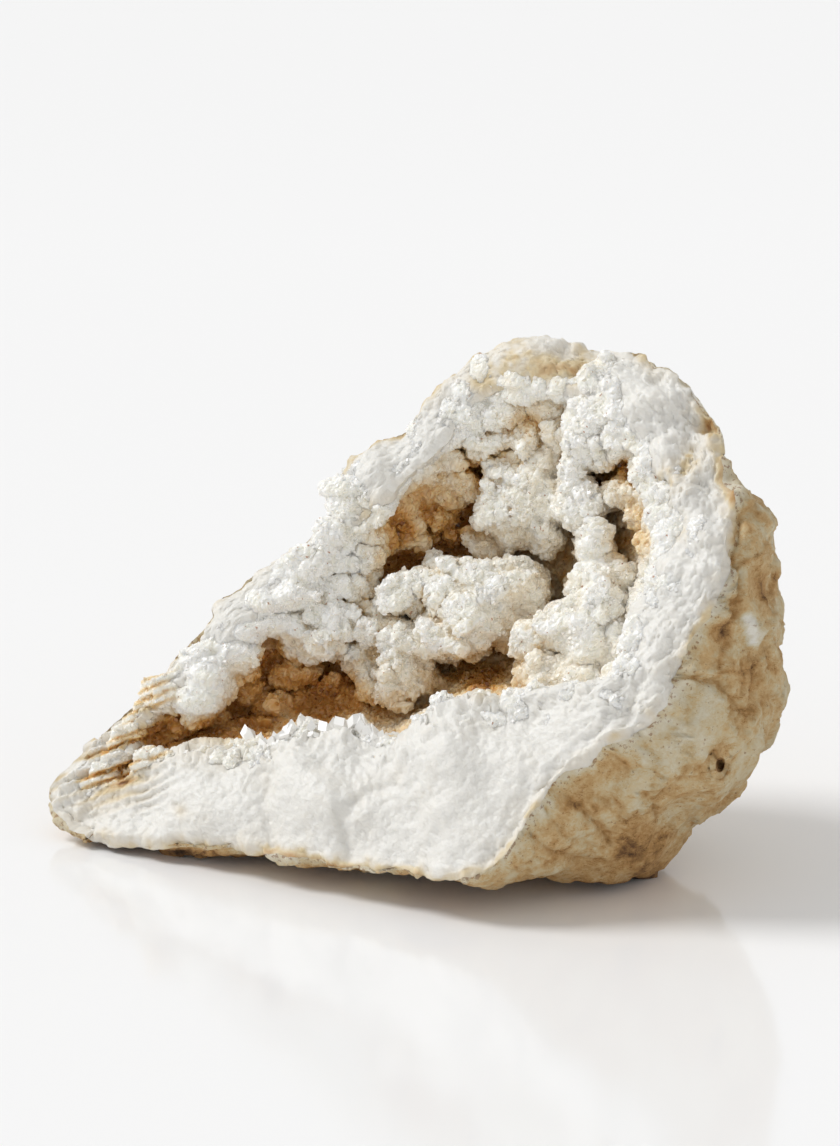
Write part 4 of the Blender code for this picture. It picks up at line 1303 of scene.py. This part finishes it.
def ramp(material, factor, stops):
    """Colours by a number: stops of place and sRGB hex code."""
    made = add(material, "ValToRGB", sockets={"Fac": factor})
    elements = made.color_ramp.elements
    while len(elements) < len(stops):
        elements.new(0.5)
    for element, (place, code) in zip(elements, stops):
        element.position = place
        element.color = linear(code)
    return made.outputs["Color"]


def new_material(name):
    """A material with an empty node tree."""
    made = bpy.data.materials.new(name)
    made.use_nodes = True
    made.node_tree.nodes.clear()
    return made


def finish(material, **surface):
    """Ends a material: its Principled surface and its output."""
    shader = add(material, "BsdfPrincipled", sockets=surface)
    add(material, "OutputMaterial", sockets={"Surface": shader.outputs["BSDF"]})


print("the palest rind is", [round(value, 3) for value in linear("#F4F0E4")[:3]], "in linear light")

# %% [markdown]
# White calcite lets light in a millimetre or two before it comes out again, which makes it glow
# softly in its own shadows. Its index is about 1.6. A druse grew freely in water, so its faces are
# glossy, cloudy white where it is clean and cream to rust-brown where iron stained it. In its deep
# places and gaps the same colours are painted shade. Clouds of 6 mm shift the stain and shade a
# little, and specks of rust lie on it, drawn 1.4 mm wide so that they show.
# The finest sugar grains are smaller than a pixel, which is some 0.3 mm. They are too small for the
# mesh and are a bump here, drawn 0.8 mm wide so that they show too.

# %% Druse calcite
druse_calcite = new_material("druse_calcite")
place = add(druse_calcite, "TexCoord").outputs["Object"]
stain = add(druse_calcite, "Attribute", {"attribute_name": "stain"}).outputs["Fac"]
cloud = add(druse_calcite, "TexNoise", sockets={"Vector": place, "Scale": 1 / (6 * MM), "Detail": 4.0})
shift = add(druse_calcite, "Math", {"operation": "MULTIPLY_ADD"},
            {0: cloud.outputs["Fac"], 1: 0.35, 2: -0.17})
mixed = add(druse_calcite, "Math", {"operation": "ADD", "use_clamp": True},
            {0: stain, 1: shift.outputs["Value"]})
calcite_colour = ramp(druse_calcite, mixed.outputs["Value"], (
    (0.0, "#FCF9F2"), (0.2, "#F4EBDA"), (0.45, "#E9CFA2"), (0.7, "#DBAA62"), (1.0, "#BA833E")))
specks = add(druse_calcite, "TexNoise", sockets={"Vector": place, "Scale": 1 / (1.4 * MM), "Detail": 1.0})
speck = add(druse_calcite, "MapRange", {"clamp": True}, {
    "Value": specks.outputs["Fac"], "From Min": 0.735, "From Max": 0.77, "To Min": 0.0, "To Max": 0.75})
speckled = add(druse_calcite, "MixRGB", {"blend_type": "MIX"}, {
    "Fac": speck.outputs["Result"], "Color1": calcite_colour, "Color2": linear("#A8652C")})
sugar = add(druse_calcite, "TexNoise", sockets={"Vector": place, "Scale": 1 / (0.8 * MM), "Detail": 3.0})
frosty = add(druse_calcite, "Bump", sockets={
    "Height": sugar.outputs["Fac"], "Strength": 0.25, "Distance": 0.3 * MM})
finish(druse_calcite, **{
    "Base Color": speckled.outputs["Color"], "Roughness": 0.32, "IOR": 1.6,
    "Normal": frosty.outputs["Normal"], "Subsurface Weight": 0.8,
    "Subsurface Radius": (1.0, 0.96, 0.9), "Subsurface Scale": 1.6 * MM})
print(druse_calcite.name, "has", len(druse_calcite.node_tree.nodes), "nodes")

# %% [markdown]
# Single crystals catch the light with smoother faces, which gives the druse its sparkle. They are
# millimetres small and stand on white stone, so they look white, not see-through, and they have no
# light inside: they stick into the skin below, where scattered light would lose its way.

# %% Clean calcite crystals
clear_calcite = new_material("clear_calcite")
# The attribute read here holds iron stain and painted shade from the spot each grain grows on.
stain = add(clear_calcite, "Attribute", {"attribute_name": "stain"}).outputs["Fac"]
tinted = ramp(clear_calcite, stain, (
    (0.0, "#FEFDFA"), (0.2, "#F5ECDC"), (0.45, "#E6C794"), (0.7, "#CB924A"), (1.0, "#84501A")))
finish(clear_calcite, **{"Base Color": tinted, "Roughness": 0.25, "IOR": 1.6})
print(clear_calcite.name, "has", len(clear_calcite.node_tree.nodes), "nodes")

# %% [markdown]
# Where massive calcite was broken by a blow, it shows a sugary face: thousands of small cleavage
# faces that together look matt and bright. Clouds of 9 mm vary its white a little. The real grain
# is finer than a pixel, so it is drawn 1.2 mm wide, with finer grain in it, as a bump.

# %% Broken calcite
broken_calcite = new_material("broken_calcite")
place = add(broken_calcite, "TexCoord").outputs["Object"]
# The attribute read here holds tan stain, partly painted shade in the pits and under the top lobe.
stain = add(broken_calcite, "Attribute", {"attribute_name": "stain"}).outputs["Fac"]
cloud = add(broken_calcite, "TexNoise", sockets={"Vector": place, "Scale": 1 / (9 * MM), "Detail": 5.0})
shift = add(broken_calcite, "Math", {"operation": "MULTIPLY_ADD"},
            {0: cloud.outputs["Fac"], 1: 0.3, 2: -0.15})
mixed = add(broken_calcite, "Math", {"operation": "ADD", "use_clamp": True},
            {0: stain, 1: shift.outputs["Value"]})
broken_colour = ramp(broken_calcite, mixed.outputs["Value"], (
    (0.0, "#ECEAE4"), (0.25, "#E6DFD1"), (0.5, "#DAC8A2"), (0.8, "#BC935C"), (1.0, "#7E4A1C")))
grain = add(broken_calcite, "TexNoise", sockets={"Vector": place, "Scale": 1 / (1.2 * MM), "Detail": 5.0})
sugary = add(broken_calcite, "Bump", sockets={
    "Height": grain.outputs["Fac"], "Strength": 0.8, "Distance": 0.5 * MM})
finish(broken_calcite, **{
    "Base Color": broken_colour, "Roughness": 0.5, "IOR": 1.6, "Normal": sugary.outputs["Normal"],
    "Subsurface Weight": 0.7, "Subsurface Radius": (1.0, 0.97, 0.92), "Subsurface Scale": 1.3 * MM})
print(broken_calcite.name, "has", len(broken_calcite.node_tree.nodes), "nodes")

# %% [markdown]
# The rind is limestone that lay in the ground for ages: matt, cream where it is fresh, ochre where
# iron stained it, and dark brown in its cracks. One number, how dark the stone is, is added up from
# patches of 14 mm, a mottle of 2.2 mm, hairlines along slanting streaks, and the dirt and the painted
# shade near the ground that are set on the points, less what makes it pale near the rim. A ramp turns
# it into colour. Right at the rim, rust sits in flecks of 1.3 mm. The pores of limestone are finer
# than a pixel, so they are drawn as pits of 2 mm with finer ones in them, as a bump.

# %% Weathered limestone
weathered_limestone = new_material("weathered_limestone")
place = add(weathered_limestone, "TexCoord").outputs["Object"]
dirt = add(weathered_limestone, "Attribute", {"attribute_name": "dirt"}).outputs["Fac"]
edge = add(weathered_limestone, "Attribute", {"attribute_name": "edge"}).outputs["Fac"]
patches = add(weathered_limestone, "TexNoise", sockets={
    "Vector": place, "Scale": 1 / (14 * MM), "Detail": 10.0, "Roughness": 0.72, "Distortion": 0.3})
mottle = add(weathered_limestone, "TexNoise", sockets={
    "Vector": place, "Scale": 1 / (2.2 * MM), "Detail": 6.0, "Roughness": 0.72})
mottled = add(weathered_limestone, "Math", {"operation": "MULTIPLY_ADD"},
              {0: mottle.outputs["Fac"], 1: 0.5, 2: -0.25})
blotched = add(weathered_limestone, "Math", {"operation": "ADD"},
               {0: patches.outputs["Fac"], 1: mottled.outputs["Value"]})
stretched = add(weathered_limestone, "Mapping", sockets={
    "Vector": place, "Rotation": (0.0, math.radians(-35), 0.0), "Scale": (0.4, 1.0, 1.3)})
streaks = add(weathered_limestone, "TexNoise", sockets={
    "Vector": stretched.outputs["Vector"], "Scale": 1 / (7 * MM), "Detail": 5.0, "Roughness": 0.62})
off_line = add(weathered_limestone, "Math", {"operation": "SUBTRACT"}, {0: streaks.outputs["Fac"], 1: 0.5})
from_line = add(weathered_limestone, "Math", {"operation": "ABSOLUTE"}, {0: off_line.outputs["Value"]})
hairline = add(weathered_limestone, "MapRange", {"clamp": True}, {
    "Value": from_line.outputs["Value"], "From Min": 0.0, "From Max": 0.01, "To Min": 0.13, "To Max": 0.0})
lined = add(weathered_limestone, "Math", {"operation": "ADD"},
            {0: blotched.outputs["Value"], 1: hairline.outputs["Result"]})
dirty = add(weathered_limestone, "Math", {"operation": "ADD"}, {0: lined.outputs["Value"], 1: dirt})
pale_rim = add(weathered_limestone, "MapRange", {"clamp": True}, {
    "Value": edge, "From Min": 0.0, "From Max": 6.0, "To Min": 0.2, "To Max": 0.0})
sunk = add(weathered_limestone, "Math", {"operation": "SUBTRACT", "use_clamp": True},
           {0: dirty.outputs["Value"], 1: pale_rim.outputs["Result"]})
rind_colour = ramp(weathered_limestone, sunk.outputs["Value"], (
    (0.0, "#F4F0E4"), (0.34, "#DDD2B7"), (0.48, "#D6C299"), (0.58, "#CFAE7C"), (0.70, "#BA8F57"),
    (0.86, "#7A5630"), (1.0, "#3E2914")))
flecks = add(weathered_limestone, "TexNoise", sockets={
    "Vector": place, "Scale": 1 / (1.3 * MM), "Detail": 3.0, "Roughness": 0.6})
rusty_edge = add(weathered_limestone, "Math", {"operation": "MULTIPLY_ADD", "use_clamp": True},
                 {0: edge, 1: -0.16, 2: 0.7})
fleck_line = add(weathered_limestone, "Math", {"operation": "MULTIPLY_ADD"},
                 {0: rusty_edge.outputs["Value"], 1: 0.16, 2: flecks.outputs["Fac"]})
fleck = add(weathered_limestone, "MapRange", {"clamp": True}, {
    "Value": fleck_line.outputs["Value"], "From Min": 0.64, "From Max": 0.7, "To Min": 0.0, "To Max": 0.6})
flecked = add(weathered_limestone, "MixRGB", {"blend_type": "MIX"}, {
    "Fac": fleck.outputs["Result"], "Color1": rind_colour, "Color2": linear("#8A5526")})
pitted = add(weathered_limestone, "TexNoise", sockets={
    "Vector": place, "Scale": 1 / (2 * MM), "Detail": 8.0, "Roughness": 0.7})
gritty = add(weathered_limestone, "Bump", sockets={
    "Height": pitted.outputs["Fac"], "Strength": 0.9, "Distance": 1.0 * MM})
finish(weathered_limestone, **{
    "Base Color": flecked.outputs["Color"], "Roughness": 0.8, "IOR": 1.5,
    "Normal": gritty.outputs["Normal"]})
print(weathered_limestone.name, "has", len(weathered_limestone.node_tree.nodes), "nodes")

# %% [markdown]
# ## Every piece rides on the stone's one body
# The skin and its crystals stand for the CAD crust, and the rind, the broken face and the small
# hole's cup for the CAD wall. Nothing on a stone moves, so all of it is on the root body.

# %% Dress the model
rind.data.materials.append(weathered_limestone)
broken_face.data.materials.append(broken_calcite)
cup.data.materials.append(weathered_limestone)
wall_pieces = [rind, broken_face, cup]
crust_pieces = skins + [grains, crest_crystals]
for shown_piece in skins:
    shown_piece.data.materials.append(druse_calcite)
for shown_piece in (grains, crest_crystals):
    shown_piece.data.materials.append(clear_calcite)
for shown_piece in crust_pieces:
    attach(shown_piece, "root")
    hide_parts("crystal_crust")
for shown_piece in wall_pieces:
    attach(shown_piece, "root")
    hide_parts("stone_wall")
print(len(wall_pieces), "pieces for the wall and", len(crust_pieces), "for the crust")

# %% [markdown]
# ## Studio
# The stone stands on a table with white lacquer, so large that it fills the view to the horizon.
# Sprayed lacquer dries smooth and hard, so it is even and pale and mirrors the stone's foot a little.

# %% Floor
FLOOR_HALF = 12.0
CORNERS = ((-1, -1), (1, -1), (1, 1), (-1, 1))

floor_mesh = bpy.data.meshes.new("studio_floor")
floor_mesh.from_pydata([(x * FLOOR_HALF, y * FLOOR_HALF, 0.0) for x, y in CORNERS], [], [(0, 1, 2, 3)])
floor = bpy.data.objects.new("studio_floor", floor_mesh)
bpy.context.scene.collection.objects.link(floor)
white_lacquer = new_material("white_lacquer")
finish(white_lacquer, **{"Base Color": linear("#FFFFFF"), "Roughness": 0.1, "IOR": 1.36})
floor.data.materials.append(white_lacquer)
print("the table is", 2 * FLOOR_HALF, "m wide")

# %% [markdown]
# A broad soft light comes from the upper left and a little from behind: a sun lamp with a wide
# angle, so that shadows are sharp at the stone's foot and soft further off. The room round it is
# white and fills the shadows. It is brighter towards the horizon, which lights the stone's sides.

# %% Light
KEY_FROM = Vector((-1.0, 0.28, 1.15))
KEY_STRENGTH = 1.7
KEY_ANGLE = 24

key = bpy.data.lights.new("key", "SUN")
key.energy = KEY_STRENGTH
key.angle = math.radians(KEY_ANGLE)
key_lamp = bpy.data.objects.new("key", key)
key_lamp.rotation_euler = (-KEY_FROM).to_track_quat("-Z", "Y").to_euler()
bpy.context.scene.collection.objects.link(key_lamp)

room = bpy.data.worlds.new("room")
room.use_nodes = True
backdrop = room.node_tree.nodes["Background"]
backdrop.inputs["Color"].default_value = linear("#FFFFFF")
direction = add(room, "TexCoord").outputs["Generated"]
upward = add(room, "SeparateXYZ", sockets={"Vector": direction}).outputs["Z"]
glow = add(room, "MapRange", {"clamp": True}, {
    "Value": upward, "From Min": 0.3, "From Max": 0.7, "To Min": 0.86, "To Max": 0.44})
room.node_tree.links.new(glow.outputs["Result"], backdrop.inputs["Strength"])
bpy.context.scene.world = room
bpy.context.scene.view_settings.view_transform = "Standard"
print("the key light stands", round(math.degrees(math.asin(KEY_FROM.normalized().z))), "degrees up")

# %% [markdown]
# The camera looks down by 15 degrees from 1.5 m away. Its focal length makes 3.6 pixels of the
# 840 by 1146 picture one millimetre at the stone, and it stands so high that the stone's zero comes
# to lie in its own row of the picture.

# %% Camera
PIXELS_PER_MM = 3.6
PICTURE_ROWS = 1146
MIDDLE_ROW = 573
ZERO_ROW = 890
EYE_AWAY = 1500.0
SENSOR = 36.0

camera = bpy.data.cameras.new("camera")
camera.sensor_fit = "VERTICAL"
camera.sensor_height = SENSOR
camera.lens = SENSOR * EYE_AWAY / (PICTURE_ROWS / PIXELS_PER_MM)
camera.clip_end = 100.0
viewpoint = bpy.data.objects.new("camera", camera)
viewpoint.location = to_world((0.0, (ZERO_ROW - MIDDLE_ROW) / PIXELS_PER_MM, EYE_AWAY))
viewpoint.rotation_euler = (math.radians(90) - LOOK_DOWN, 0, 0)
bpy.context.scene.collection.objects.link(viewpoint)
bpy.context.scene.camera = viewpoint
print("focal length", round(camera.lens), "mm")
